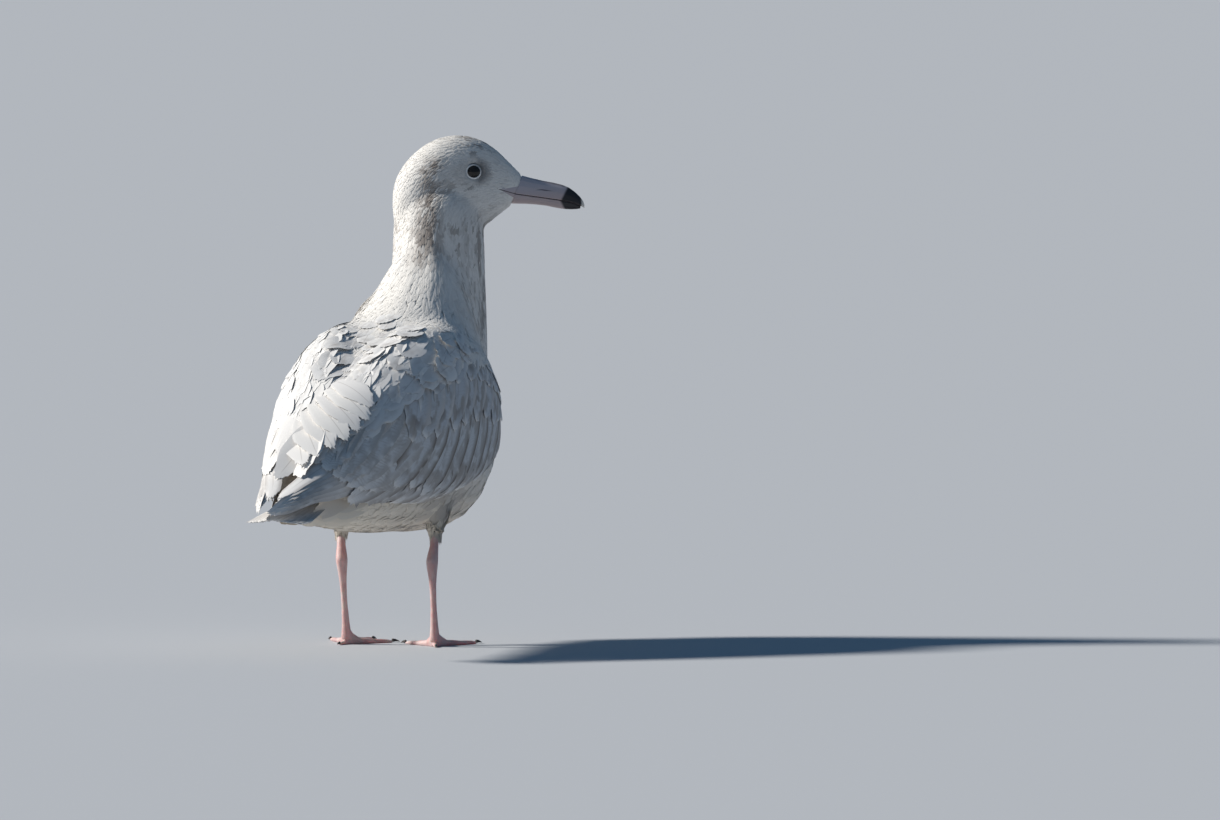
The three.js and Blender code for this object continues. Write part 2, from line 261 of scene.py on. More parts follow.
form = bmesh.new()
bmesh.ops.create_grid(form, x_segments=2, y_segments=2, size=FLOOR_WIDTH / 2)
floor = mesh_object("floor", form)
floor_paint, wire = new_material("floor_paint", Base_Color=colour(*FLOOR_COLOUR), Roughness=FLOOR_ROUGHNESS)
wear(floor_paint, bump=object_place(wire).speckle(0.004), strength=0.05)
floor.data.materials.append(floor_paint)


# ---------------------------------------------------------------- Skin
# One closed skin from inside the bill to the rump, over the thighs and the folded arms of the wings. It
# lies inside the solids by the depth of the feathers on it, and under the horn of the bill.
SKIN_GRAIN = 0.0021
SKIN_SMOOTHING = 6
BODY_DEPTH = 0.0006
WING_DEPTH = 0.0018
HEAD_DEPTH = 0.0005
FACE_DEPTH = 0.0004
BILL_DEPTH = 0.0017
SMOOTHING_LOSS = 0.0009  # what the smoothing takes off the head
THIGH_END = 0.101  # the skin is smoothed round the thighs, down to this height
THIGH_REACH = 0.032
THIGH_SMOOTHING = 40
WARM_WHITE = colour(0.80, 0.775, 0.735)


def relax(form, verts, rounds):
    """Smooths these points of a bmesh."""
    axes = {"use_axis_x": True, "use_axis_y": True, "use_axis_z": True}
    for _ in range(rounds):
        bmesh.ops.smooth_vert(form, verts=verts, factor=0.5, **axes)


def rewrap(piece, grain, rounds):
    """Wraps a piece in one closed smooth mesh of an even grain."""
    shell = piece.modifiers.new("shell", "REMESH")
    shell.mode = "VOXEL"
    shell.voxel_size = grain
    bpy.context.view_layer.update()
    smooth = bmesh.new()
    smooth.from_object(piece, bpy.context.evaluated_depsgraph_get())
    piece.modifiers.clear()
    islands = []
    seen = set()
    for start in smooth.verts:
        if start in seen:
            continue
        island = [start]
        seen.add(start)
        for vert in island:
            for edge in vert.link_edges:
                other = edge.other_vert(vert)
                if other not in seen:
                    seen.add(other)
                    island.append(other)
        islands.append(island)
    largest = max(islands, key=len)
    for island in islands:
        if island is not largest:
            bmesh.ops.delete(smooth, geom=island, context="VERTS")
    relax(smooth, smooth.verts, rounds)
    smooth.to_mesh(piece.data)
    smooth.free()
    piece.data.shade_smooth()


def copied(*parts):
    """A bmesh of copies of these nodes."""
    form = bmesh.new()
    for part in parts:
        form.from_mesh(nodes[part].data)
    bmesh.ops.remove_doubles(form, verts=form.verts, dist=1e-6)
    return form


def remeshed(name, grain, rounds, *parts):
    """One closed smooth mesh round copies of these nodes."""
    piece = mesh_object(name, copied(*parts))
    rewrap(piece, grain, rounds)
    return piece


def points_of(mesh):
    """The mesh's points as rows."""
    flat = np.zeros(len(mesh.vertices) * 3, np.float32)
    mesh.vertices.foreach_get("co", flat)
    return flat.reshape(-1, 3).astype(float)


def facing_of(mesh):
    """The way the mesh faces at each of its points."""
    flat = np.zeros(len(mesh.vertices) * 3, np.float32)
    mesh.vertex_normals.foreach_get("vector", flat)
    return flat.reshape(-1, 3).astype(float)


def move_points(mesh, points):
    mesh.vertices.foreach_set("co", points.astype(np.float32).ravel())
    mesh.update()


def tree_of(*parts):
    """A tree of these nodes' faces, for finding the nearest of them."""
    form = bmesh.new()
    for part in parts:
        form.from_mesh(nodes[part].data)
    tree = BVHTree.FromBMesh(form)
    form.free()
    return tree


def nearness(tree, points, reach):
    """How near each point is to the tree's faces, up to the reach."""
    found = (tree.find_nearest(Vector(point), reach)[3] for point in points)
    return np.array([reach if gap is None else gap for gap in found])


def ease(value, low, high):
    """0 at low, 1 at high, smooth between."""
    step = np.clip((value - low) / (high - low), 0, 1)
    return step * step * (3 - 2 * step)


def head_places(points):
    """How far left, forward along the bill and up each point is from the neck's axis."""
    away = points - np.array(neck_axis)
    return away @ np.array(head_left), away @ np.array(head_forward), away[:, 2]


wing_tree = tree_of("wing_left", "wing_right", "primaries_left", "primaries_right")
bill_tree = tree_of("bill_upper", "bill_lower")
skin = remeshed(
    "skin", SKIN_GRAIN, SKIN_SMOOTHING,
    "head", "neck", "trunk", "wing_left", "wing_right", "thigh_left", "thigh_right",
    "bill_upper", "bill_lower",
)
knees = [sum(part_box(f"thigh_{side_name}"), Vector()) / 2 for side_name in ("left", "right")]
form = bmesh.new()
form.from_mesh(skin.data)
by_knee = [
    vert for vert in form.verts
    if vert.co.z > THIGH_END and min((vert.co - knee).xy.length for knee in knees) < THIGH_REACH
]
relax(form, by_knee, THIGH_SMOOTHING)
form.to_mesh(skin.data)
form.free()
points = points_of(skin.data)
facing = facing_of(skin.data)
inside = BVHTree.FromPolygons(
    [vertex.co for vertex in skin.data.vertices], [face.vertices for face in skin.data.polygons]
)
thickness = np.array([
    inside.ray_cast(Vector(point - 0.0004 * way), Vector(-way), 0.1)[3] or 0.1
    for point, way in zip(points, facing)
])
_, forward, up = head_places(points)
depth = BODY_DEPTH + (WING_DEPTH - BODY_DEPTH) * ease(-nearness(wing_tree, points, 0.008), -0.006, -0.001)
headness = ease(up, 0.31, 0.36)
depth = depth + (HEAD_DEPTH - SMOOTHING_LOSS - depth) * headness
depth = depth + (FACE_DEPTH - depth) * headness * ease(forward, 0.035, 0.060)
billness = ease(-nearness(bill_tree, points, 0.004), -0.0016, -0.0004)
depth = depth + (BILL_DEPTH - depth) * headness * billness
depth = np.minimum(depth, 0.4 * thickness)

# The cover is a second, fuller surface, which the back's feathers lie on. It bridges every hollow that is
# narrower than twice its reach.
COVER_REACH = 0.026
COVER_GRAINS = (0.0035, 0.003)
cover = bpy.data.objects.new("cover", skin.data.copy())
bpy.context.scene.collection.objects.link(cover)
move_points(cover.data, points + facing * COVER_REACH)
rewrap(cover, COVER_GRAINS[0], 4)
move_points(cover.data, points_of(cover.data) - facing_of(cover.data) * COVER_REACH)
rewrap(cover, COVER_GRAINS[1], 10)
cover_mesh = cover.data
bpy.data.objects.remove(cover)
move_points(skin.data, points - facing * depth[:, None])
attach(skin, "root")
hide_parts("head", "neck", "trunk", "thigh_left", "thigh_right", "wing_left", "wing_right")


# ---------------------------------------------------------------- Markings
# A young glaucous gull is off-white, finely mottled with grey-brown: in a ragged band behind the ear, in
# streaks down the neck, round the eye, and in soft bars on the flanks. The horn runs back to the gape.
ASH_BROWN = colour(0.235, 0.205, 0.185)
GREY_BROWN = colour(0.36, 0.325, 0.295)
TAN = colour(0.56, 0.45, 0.34)
# Grey for the wing feathers' centres, partly their own tone and partly painted shade, bluish as the shaded
# side is.
GREY_CENTRE_AND_SHADE = colour(0.36, 0.41, 0.47)
FRESH_VANE = colour(0.81, 0.795, 0.77)
WORN_VANE = colour(0.73, 0.72, 0.71)
WING_BARBS = 0.0010
BAR_SPACING = 0.0038
SMUDGE = colour(0.16, 0.15, 0.15)
BUFF = colour(0.74, 0.665, 0.545)
FADED_WHITE = colour(0.73, 0.715, 0.69)
BILL_PINK = colour(0.50, 0.395, 0.385)
BILL_LILAC = colour(0.45, 0.42, 0.46)
MOUTH_DARK = colour(0.05, 0.038, 0.04)
SKULL_FOOT = 0.366  # how high the skull meets the neck
EYE_UP = 0.4115
GAPE = {"back": 0.0535, "up": 0.3958, "rise": 0.16, "fall": 0.62, "mouth": 0.30}


def horn_tone(up):
    """Pinkish below and lilac above."""
    return up.ramp(0.384, 0.400).paint(BILL_PINK, BILL_LILAC)


def gape(forward, up):
    """How much of this place on the face is horn, and how much is the line of the mouth."""
    behind = forward - GAPE["back"]
    over = (GAPE["up"] + behind * GAPE["rise"] - up).ramp(-0.0002, 0.0004)
    under = (up - GAPE["up"] + behind * GAPE["fall"]).ramp(-0.0002, 0.0004)
    mouth = 1 - abs(GAPE["up"] - behind * GAPE["mouth"] - up).ramp(0.0001, 0.0006)
    return over * under, mouth * behind.ramp(-0.0035, 0.001)


def markings(place):
    """The colour of the plumage at a place, the same on the skin and on the feathers over it."""
    head_x = place.along(tuple(head_forward), neck_axis)
    side_x = abs(place.along(tuple(head_left), neck_axis))
    up = place.along((0, 0, 1), Vector())
    ahead = place.along((0, -1, 0), on_body(0, 0, 0))
    fleck = place.speckle(0.0026)
    blot = place.speckle(0.009)
    streak = place.speckle(0.0034, (1, 1, 3.6))
    hatch = place.speckle(0.0013, (3.2, 3.2, 1))
    cloud = place.speckle(0.040)

    on_neck = up.ramp(0.255, 0.290)
    on_skull = up.ramp(SKULL_FOOT, 0.380)
    band = (head_x + (0.40 - up) * 0.10 + cloud * 0.016).hill(0.004, 0.017) * up.ramp(0.330, 0.350)
    band = band * (1 - up.ramp(0.418, 0.430))
    crown = up.ramp(0.421, 0.431) * head_x.hill(0.036, 0.028)
    neck = on_neck * (1 - on_skull) * ahead.ramp(0.076, 0.108)
    ragged = on_neck * (1 - on_skull) * ahead.hill(0.080, 0.024)
    base = up.hill(0.300, 0.034) * ahead.hill(0.072, 0.034)
    rump = ahead.hill(-0.185, 0.055) * up.ramp(0.126, 0.136)
    flank = (1 - up.ramp(0.120, 0.165)) * ahead.hill(0.010, 0.085)
    eye_up = up - EYE_UP
    eye_x = head_x - EYE_FORWARD
    near_eye = side_x.ramp(0.008, 0.013)
    round_eye = eye_x * eye_x + eye_up * eye_up * 1.8
    # The socket is a soft ring round the eye, in its hollow and under the brow, used for painted shade.
    socket = round_eye.ramp(0.00052, 0.00006)
    lore = round_eye.ramp(0.00042, 0.00004) * eye_x.ramp(0.000, 0.008)
    under_eye = eye_x.hill(-0.003, 0.009) * (eye_up + 0.0005 * cloud).hill(-0.0125, 0.0055)
    crease = place.speckle(0.0022, (1, 1, 0.5)).ramp(0.48, 0.58)
    face = head_x.ramp(0.004, 0.030) * on_skull * eye_up.ramp(0.012, 0.004)
    cheek = (eye_x + eye_up * 0.5).hill(-0.026, 0.022) * eye_up.hill(-0.013, 0.016)
    horn_part, mouth_part = gape(head_x, up)

    shade = cloud.ramp(0.35, 0.72).paint(WARM_WHITE, FADED_WHITE)
    shade = ((1 - up.ramp(0.105, 0.185)) * ahead.ramp(-0.245, -0.20) * 0.85).paint(shade, BUFF)
    shade = (rump * blot.ramp(0.30, 0.60) * 0.75).paint(shade, TAN)
    shade = (flank * blot.ramp(0.42, 0.60) * 0.75).paint(shade, GREY_BROWN)
    shade = (base * blot.ramp(0.46, 0.62) * 0.6).paint(shade, TAN)
    shade = (base * streak.ramp(0.50, 0.66) * 0.5).paint(shade, GREY_BROWN)
    shade = (ragged * fleck.ramp(0.50, 0.64) * 0.8).paint(shade, GREY_BROWN)
    shade = (neck * streak.ramp(0.48, 0.60) * 0.75).paint(shade, ASH_BROWN)
    shade = (band * fleck.ramp(0.36, 0.52)).paint(shade, GREY_BROWN)
    shade = (band * streak.ramp(0.46, 0.56)).paint(shade, ASH_BROWN)
    shade = (crown * fleck.ramp(0.48, 0.58) * 0.8).paint(shade, ASH_BROWN)
    shade = (face * fleck.ramp(0.50, 0.72) * 0.35).paint(shade, GREY_BROWN)
    shade = (cheek * near_eye * hatch.ramp(0.48, 0.58) * 0.60).paint(shade, ASH_BROWN)
    # Painted shade: a soft grey ring round the eye, in its hollow and under the brow.
    shade = (near_eye * socket * 0.35).paint(shade, GREY_BROWN)
    shade = (near_eye * lore * 0.80).paint(shade, SMUDGE)
    shade = (near_eye * under_eye * crease * 0.7).paint(shade, SMUDGE)
    shade = horn_part.paint(shade, horn_tone(up))
    return (mouth_part * head_x.ramp(0.049, 0.052)).paint(shade, MOUTH_DARK)


def bare_plumage(name):
    """Skin and short down in the markings of their place."""
    material, wire = new_material(name, Roughness=0.62, Specular_IOR_Level=0.22, Sheen_Weight=0.12)
    place = object_place(wire)
    wear(material, base=markings(place), bump=place.speckle(0.0015), strength=0.3)
    return material


def on_feather(wire):
    """Where a point is: its root's place, its own place on the feather, how far across and along that
    is, how near the vane's side and its end, and the feather's own chance."""
    place = wire.node("ShaderNodeAttribute", {"attribute_name": "root"}, {}, "Vector")
    vane = wire.node("ShaderNodeAttribute", {"attribute_name": "vane"}, {}, "Vector")
    feather = wire.node("ShaderNodeAttribute", {"attribute_name": "feather"}, {}, "Vector")
    across, length, side = (vane.along(axis, Vector()) for axis in ((1, 0, 0), (0, 1, 0), (0, 0, 1)))
    chance, share = (feather.along(axis, Vector()) for axis in ((1, 0, 0), (0, 1, 0)))
    own = wire.node("ShaderNodeCombineXYZ", {}, {0: across, 1: length, 2: chance * 0.5})
    return place, own, across, length, abs(side), share, chance


def barbs(across, length, size):
    """Fine ridges that slant back from the shaft."""
    slant = (length + abs(across) * 0.8) * (math.tau / size)
    return slant.math("SINE", slant)


def plumage(name, barb_size):
    """Feathers in the markings of their roots, with barbs along each vane."""
    material, wire = new_material(name, Roughness=0.62, Specular_IOR_Level=0.22, Sheen_Weight=0.12)
    place, _, across, length, _, _, chance = on_feather(wire)
    shade = (chance.ramp(0.2, 1.0) * 0.10).paint(markings(place), GREY_BROWN)
    wear(material, base=shade, bump=barbs(across, length, barb_size), strength=0.10, distance=0.0002)
    return material


def wing_paint(name, mottle, bars, rim):
    """Feathers with mottled centres, wavy bars, a dark shaft, pale ends and dusky rims. The rims are painted
    shadow where each feather's edge meets its neighbour.
    """
    material, wire = new_material(name, Roughness=0.58, Specular_IOR_Level=0.25, Sheen_Weight=0.08)
    _, own, across, length, side, share, chance = on_feather(wire)
    waver = own.speckle(0.008)
    blotch = own.speckle(0.0052, (0.8, 1.7, 1))
    wave = (length + abs(across) * 0.6 + waver * 0.016) * (math.tau / BAR_SPACING)
    bar = wave.math("SINE", wave).ramp(-0.3, 0.8) * own.speckle(0.004).ramp(0.35, 0.60)
    inner = (1 - side.ramp(0.55, 0.95)) * (1 - share.ramp(0.86, 0.98))
    spot = share.hill(0.70, 0.20) * (1 - side.ramp(0.15, 0.75)) * own.speckle(0.006).ramp(0.40, 0.55)
    shaft = (1 - abs(across).ramp(0.0002, 0.0007)) * (1 - share.ramp(0.8, 0.95))

    shade = chance.paint(FRESH_VANE, WORN_VANE)
    # A cool grey wash on the centres: partly their own grey, partly painted shade that darkens the shaded
    # wing.
    shade = (inner * mottle * 0.65).paint(shade, GREY_CENTRE_AND_SHADE)
    shade = (spot * mottle).paint(shade, ASH_BROWN)
    shade = (inner * blotch.ramp(0.46, 0.62) * mottle).paint(shade, GREY_BROWN)
    shade = (inner * bar * bars).paint(shade, GREY_BROWN)
    shade = (shaft * 0.30).paint(shade, ASH_BROWN)
    # Painted shadow: dusky rims along the vane's sides, where the neighbouring feather overlaps it.
    shade = (side.ramp(0.40, 0.95) * waver.ramp(0.25, 0.50) * rim).paint(shade, ASH_BROWN)
    wear(material, base=shade, bump=barbs(across, length, WING_BARBS), strength=0.10, distance=0.0002)
    return material


skin.data.materials.append(bare_plumage("skin_down"))


# ---------------------------------------------------------------- Lie of the coat
# Feathers lie along the body's middle line, from the bill over the head, down the neck and back to the
# tail. Round each eye they part.
MIDDLE_LINE = [
    on_head(0, 0.068, 0.398), on_head(0, 0.030, 0.404), on_head(0, 0.004, 0.398),
    on_head(0, -0.004, 0.378), on_body(0, 0.108, 0.335), on_body(0, 0.106, 0.270),
    on_body(0, 0.085, 0.218), on_body(0, 0.030, 0.196), on_body(0, -0.050, 0.182),
    on_body(0, -0.140, 0.155), on_body(0, -0.215, 0.128), on_body(0, -0.290, 0.108),
]
MIDDLE_STEPS = 90
TRIES = 4.5  # how many roots are tried for each one that there may be room for


def unit(rows):
    """Rows scaled to a length of one."""
    return rows / np.maximum(np.linalg.norm(rows, axis=-1, keepdims=True), 1e-12)


def even_out(rows):
    """Smooths the rows between the first and the last, in place."""
    rows[1:-1] = (rows[:-2] + 2 * rows[1:-1] + rows[2:]) / 4


knots = np.array(MIDDLE_LINE)
knot_at = np.concatenate([[0], np.cumsum(np.linalg.norm(np.diff(knots, axis=0), axis=1))])
middle_length = knot_at[-1]
middle_at = np.linspace(0, middle_length, MIDDLE_STEPS)
middle = np.stack([np.interp(middle_at, knot_at, knots[:, axis]) for axis in range(3)], axis=1)
for _ in range(12):
    even_out(middle)
heading = unit(np.gradient(middle, axis=0))
leftward = np.array([1.0, 0, 0]) * ease(middle_at, 0.09, 0.17)[:, None]
leftward = leftward + np.array(head_left) * (1 - ease(middle_at, 0.09, 0.17))[:, None]
leftward = unit(leftward - heading * (leftward * heading).sum(1)[:, None])


def pull_of_middle(points):
    """How much each step of the middle line counts at each point."""
    gaps = ((points[:, None, :] - middle[None]) ** 2).sum(2)
    pull = 1 / (gaps + 1e-5) ** 3
    return pull / pull.sum(1)[:, None]


def lie(points, normals):
    """The way that a feather rooted at each point lies."""
    way = pull_of_middle(points) @ heading
    for knee in knees:
        gap = np.linalg.norm((points - np.array(knee))[:, :2], axis=1)
        down_leg = (1 - ease(gap, 0.010, 0.024)) * (1 - ease(points[:, 2], 0.118, 0.134))
        way = way - np.array([0, 0, 2.2]) * down_leg[:, None]
    for eye in (eye_left, eye_right):
        away = points - np.array(eye)
        reach = np.linalg.norm(away, axis=1)
        way = way + unit(away) * (1.6 * np.exp(-np.maximum(reach - 0.0075, 0) / 0.0032))[:, None]
    way = way - normals * (way * normals).sum(1)[:, None]
    return unit(way)


def unrolled(points):
    """Each point on the skin, unrolled round the middle line, from 0 to 1 both ways."""
    pull = pull_of_middle(points)
    heart = pull @ middle
    side = unit(pull @ leftward)
    ahead = unit(pull @ heading)
    away = points - heart
    turn = np.arctan2((away * side).sum(1), (away * np.cross(ahead, side)).sum(1))
    return np.stack([0.5 + turn / math.tau, (pull @ middle_at) / middle_length], axis=1) * 0.98 + 0.01


class Ground:
    """A surface for feathers to lie on."""

    def __init__(self, mesh):
        corners = [tuple(face.vertices) for face in mesh.polygons]
        self.tree = BVHTree.FromPolygons([vertex.co for vertex in mesh.vertices], corners)
        facing = facing_of(mesh)
        self.facing = unit(np.array([facing[list(corner)].mean(0) for corner in corners]))

    def settle(self, points):
        """The nearest place on the surface to each point, and the way it faces there."""
        found = [self.tree.find_nearest(Vector(point)) for point in points]
        return np.array([hit[0] for hit in found]), self.facing[[hit[2] for hit in found]]

    def follow(self, roots, lengths, steps, sway, rng):
        """Lines over the surface from the roots, each swayed a little to one side of the lie."""
        spot, normal = self.settle(roots)
        lines, ups = [spot], [normal]
        turn = rng.normal(0, sway, len(roots))[:, None]
        for _ in range(steps):
            way = lie(spot, normal)
            way = way * np.cos(turn) + np.cross(normal, way) * np.sin(turn)
            spot, normal = self.settle(spot + way * (lengths / steps)[:, None])
            lines.append(spot)
            ups.append(normal)
        return np.stack(lines, axis=1), np.stack(ups, axis=1)


def scatter(mesh, spacing, wanted, rng):
    """Roots spread over the wanted part of a mesh, no two nearer than the spacing."""
    mesh.calc_loop_triangles()
    corners = points_of(mesh)[np.array([triangle.vertices for triangle in mesh.loop_triangles])]
    corners = corners[wanted(corners.mean(1))]
    areas = np.linalg.norm(np.cross(corners[:, 1] - corners[:, 0], corners[:, 2] - corners[:, 0]), axis=1) / 2
    tries = int(TRIES * areas.sum() / spacing**2)
    chosen = corners[rng.choice(len(corners), tries, p=areas / areas.sum())]
    a, b = rng.random((2, tries, 1))
    a, b = np.where(a + b > 1, 1 - a, a), np.where(a + b > 1, 1 - b, b)
    spots = chosen[:, 0] + a * (chosen[:, 1] - chosen[:, 0]) + b * (chosen[:, 2] - chosen[:, 0])
    taken = {}
    kept = []
    cells = np.floor(spots / spacing).astype(int)
    near = [(i, j, k) for i in (-1, 0, 1) for j in (-1, 0, 1) for k in (-1, 0, 1)]
    for spot, (i, j, k) in zip(spots.tolist(), cells.tolist()):
        others = (other for di, dj, dk in near for other in taken.get((i + di, j + dj, k + dk), ()))
        if all(math.dist(spot, other) >= spacing for other in others):
            taken.setdefault((i, j, k), []).append(spot)
            kept.append(spot)
    return np.array(kept)


class VanePlan:
    """The layout of one feather: a lens of columns and rows, with its far end cut into spikes."""

    def __init__(self, columns, rows, body=0.8):
        self.body = body
        self.faces = []
        self.groups = []
        across, along, level, spikes = [], [], [], []
        grid = {}
        for row in range(rows):
            for column in range(columns):
                rim = row == 0 or column in (0, columns - 1)
                for side in ((0,) if rim else (1, -1)):
                    across.append(2 * column / (columns - 1) - 1)
                    along.append(body * row / (rows - 1))
                    level.append(side)
                    for key in ((1, -1) if rim else (side,)):
                        grid[row, column, key] = len(across) - 1
        for column in range(columns - 1):
            across.append((2 * column + 1) / (columns - 1) - 1)
            along.append(1.0)
            level.append(0)
            spikes.append(len(across) - 1)
        for side in (1, -1):
            for row in range(rows - 1):
                for column in range(columns - 1):
                    near, far = grid[row, column, side], grid[row, column + 1, side]
                    self.add(side, near, far, grid[row + 1, column + 1, side], grid[row + 1, column, side])
            for column, spike in enumerate(spikes):
                self.add(side, grid[rows - 1, column, side], grid[rows - 1, column + 1, side], spike)
        for column in range(1, columns - 1):
            over, under = grid[rows - 1, column, 1], grid[rows - 1, column, -1]
            self.add(0, over, spikes[column - 1], under)
            self.add(2, over, under, spikes[column])
        self.across, self.along, self.level = np.array(across), np.array(along), np.array(level)
        self.spike = np.zeros(len(across), bool)
        self.spike[spikes] = True

    def add(self, group, *corners):
        """Adds a face. Faces of different groups meet in a crease."""
        self.faces.append(corners[::-1] if group == -1 else corners)
        self.groups.append(group)

    def creases(self):
        """The edges where faces of different groups meet, as pairs of points."""
        meeting = {}
        for face, group in zip(self.faces, self.groups):
            for pair in zip(face, face[1:] + face[:1]):
                meeting.setdefault(tuple(sorted(pair)), set()).add(group)
        return np.array([pair for pair, groups in meeting.items() if len(groups) > 1])


def lay_vanes(
    name, plan, lines, ups, half_widths, material, rng, *,
    root_lift, tip_lift, arch, thickness, roundness, fray, waist=0.5, roll=0.0, patch=0.003,
):
    """One mesh of many feathers, each laid along its line. Lifts are from the line, arch and roll are shares
    of the half width, waist is where the vane is widest, and patch is its width on the map OFBake."""
    count, stops = lines.shape[0], lines.shape[1]
    across = np.broadcast_to(plan.across, (count, len(plan.across))).copy()
    along = np.broadcast_to(plan.along, across.shape).copy()
    along -= roundness * across**2 * (along / plan.body) ** 2 * plan.body
    frayed = fray * rng.random(along.shape)
    along = np.where(plan.spike, along - frayed * (1 - plan.body), along)
    across = np.where(plan.spike, across + rng.normal(0, 0.12, across.shape), across)
    along = np.clip(along, 0, 1)
    swell = np.clip(along / waist, 0, 1) ** 0.55 * 0.8 + 0.2
    swell *= np.where(along > waist, 1 - 0.25 * ((along - waist) / (1 - waist)) ** 2, 1)

    place = along * (stops - 1)
    low = np.minimum(place.astype(int), stops - 2)
    part = (place - low)[..., None]
    rows = np.arange(count)[:, None]
    spot = lines[rows, low] * (1 - part) + lines[rows, low + 1] * part
    up = unit(ups[rows, low] * (1 - part) + ups[rows, low + 1] * part)
    turned = unit(np.gradient(lines, axis=1))
    ahead = unit(turned[rows, low] * (1 - part) + turned[rows, low + 1] * part)
    side = unit(np.cross(ahead, up))
    half = half_widths[:, None] * swell
    root_lift, tip_lift, roll = (np.broadcast_to(v, (count,))[:, None] for v in (root_lift, tip_lift, roll))
    lift = root_lift + (tip_lift - root_lift) * along**1.2
    lift = lift + half * (arch * (1 - across**2) + roll * across)
    lift = lift + plan.level * thickness / 2
    vertices = spot + side * (half * across)[..., None] + up * lift[..., None]

    reach = np.linalg.norm(np.diff(lines, axis=1), axis=2).sum(1)[:, None]
    per = len(plan.across)
    starts = (np.arange(count) * per)[:, None]
    faces = []
    for size in (4, 3):
        alike = np.array([face for face in plan.faces if len(face) == size])
        faces += (alike[None] + starts[..., None]).reshape(-1, size).tolist()
    mesh = bpy.data.meshes.new(name)
    mesh.from_pydata(vertices.reshape(-1, 3).tolist(), [], faces)
    ends = np.zeros(len(mesh.edges) * 2, int)
    mesh.edges.foreach_get("vertices", ends)
    ends = np.sort(ends.reshape(-1, 2), axis=1) % per
    creased = {tuple(pair) for pair in plan.creases().tolist()}
    mesh.shade_smooth()
    mesh.edges.foreach_set("use_edge_sharp", [tuple(pair) in creased for pair in ends.tolist()])
    chance = np.repeat(rng.random((count, 1)), per, axis=1)
    for key, values in {
        "root": np.repeat(lines[:, 0], per, axis=0),
        "vane": np.stack([half * across, along * reach, across], axis=-1),
        "feather": np.stack([chance, along, reach + 0 * along], axis=-1),
    }.items():
        layer = mesh.attributes.new(key, "FLOAT_VECTOR", "POINT")
        layer.data.foreach_set("vector", values.astype(np.float32).ravel())
    corner_points = np.zeros(len(mesh.loops), int)
    mesh.loops.foreach_get("vertex_index", corner_points)
    homes = unrolled(lines[:, 0])[:, None, :]
    patches = homes + patch * np.stack([across / 2, along - 0.5], axis=-1)
    chart = mesh.uv_layers.new(name="OFBake")
    chart.data.foreach_set("uv", patches.reshape(-1, 2)[corner_points].astype(np.float32).ravel())
    mesh.materials.append(material)
    piece = bpy.data.objects.new(name, mesh)
    bpy.context.scene.collection.objects.link(piece)
    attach(piece, "root")
    return piece


# ---------------------------------------------------------------- Head feathers
# Short, fine, hair-like tufts, smallest at the bill and round the eyes. They root in the skin, lie back
# over one another and take their colour from the markings at their roots.
HEAD_SPACING = 0.0017
HEAD_FEATHER = {"long": 0.0092, "short": 0.0026, "half_width": 0.0010}
FEATHERS_END = 0.074  # none root further forward than this
LID_CLEARANCE = 0.0082  # how far from the eye's centre the feathers begin

ground = Ground(skin.data)
tuft = VanePlan(3, 3, body=0.62)
head_plumage = plumage("head_plumage", barb_size=0.0006)


def clear_of_face(points):
    """True where a feather may root: off the bill, out of the gape and outside the lids."""
    _, forward, up = head_places(points)
    behind = forward - GAPE["back"]
    in_gape = (up < GAPE["up"] + GAPE["rise"] * behind) & (up > GAPE["up"] - GAPE["fall"] * behind)
    clear = (nearness(bill_tree, points, 0.004) > 0.0007) & ~in_gape & (forward < FEATHERS_END)
    for eye in (eye_left, eye_right):
        clear &= np.linalg.norm(points - np.array(eye), axis=1) > LID_CLEARANCE
    return clear


def face_nearness(points):
    """1 at the bill and the lids, easing to 0 away from them."""
    gap = nearness(bill_tree, points, 0.03)
    for eye in (eye_left, eye_right):
        gap = np.minimum(gap, np.linalg.norm(points - np.array(eye), axis=1) - LID_CLEARANCE)
    return 1 - ease(gap, 0.0, 0.024)


def on_skull(points):
    return (points[:, 2] > SKULL_FOOT) & clear_of_face(points)


rng = np.random.default_rng(11)
roots = scatter(skin.data, HEAD_SPACING, on_skull, rng)
closeness = face_nearness(roots)
lengths = HEAD_FEATHER["long"] + (HEAD_FEATHER["short"] - HEAD_FEATHER["long"]) * closeness
lengths *= rng.uniform(0.85, 1.15, len(roots))
lines, ups = ground.follow(roots, lengths, 3, 0.16, rng)
lay_vanes(
    "head_feathers", tuft, lines, ups, HEAD_FEATHER["half_width"] * rng.uniform(0.8, 1.2, len(roots)),
    head_plumage, rng, root_lift=-0.0001, tip_lift=0.0003 + 0.0002 * (1 - closeness), arch=0.05,
    thickness=0.0003, roundness=0.15, fray=0.7,
)


# ---------------------------------------------------------------- Neck feathers
# Longer, looser and a little tousled. At the foot of the neck they bridge the hollow above the back, and
# on the left they bunch up where the neck is turned.
NECK_SPACING = 0.0024
NECK_FEATHER = {"length": 0.0185, "half_width": 0.0018}
NECK_FOOT = 0.250
BUNCHING = 0.008  # how far the turned neck pushes up the feathers at its left


def hump(value, centre, reach):
    """1 at the centre, easing to 0 at the reach on each side."""
    return 1 - ease(np.abs(value - centre), 0, reach)


def on_neck(points):
    return (points[:, 2] <= SKULL_FOOT) & (points[:, 2] > NECK_FOOT) & clear_of_face(points)


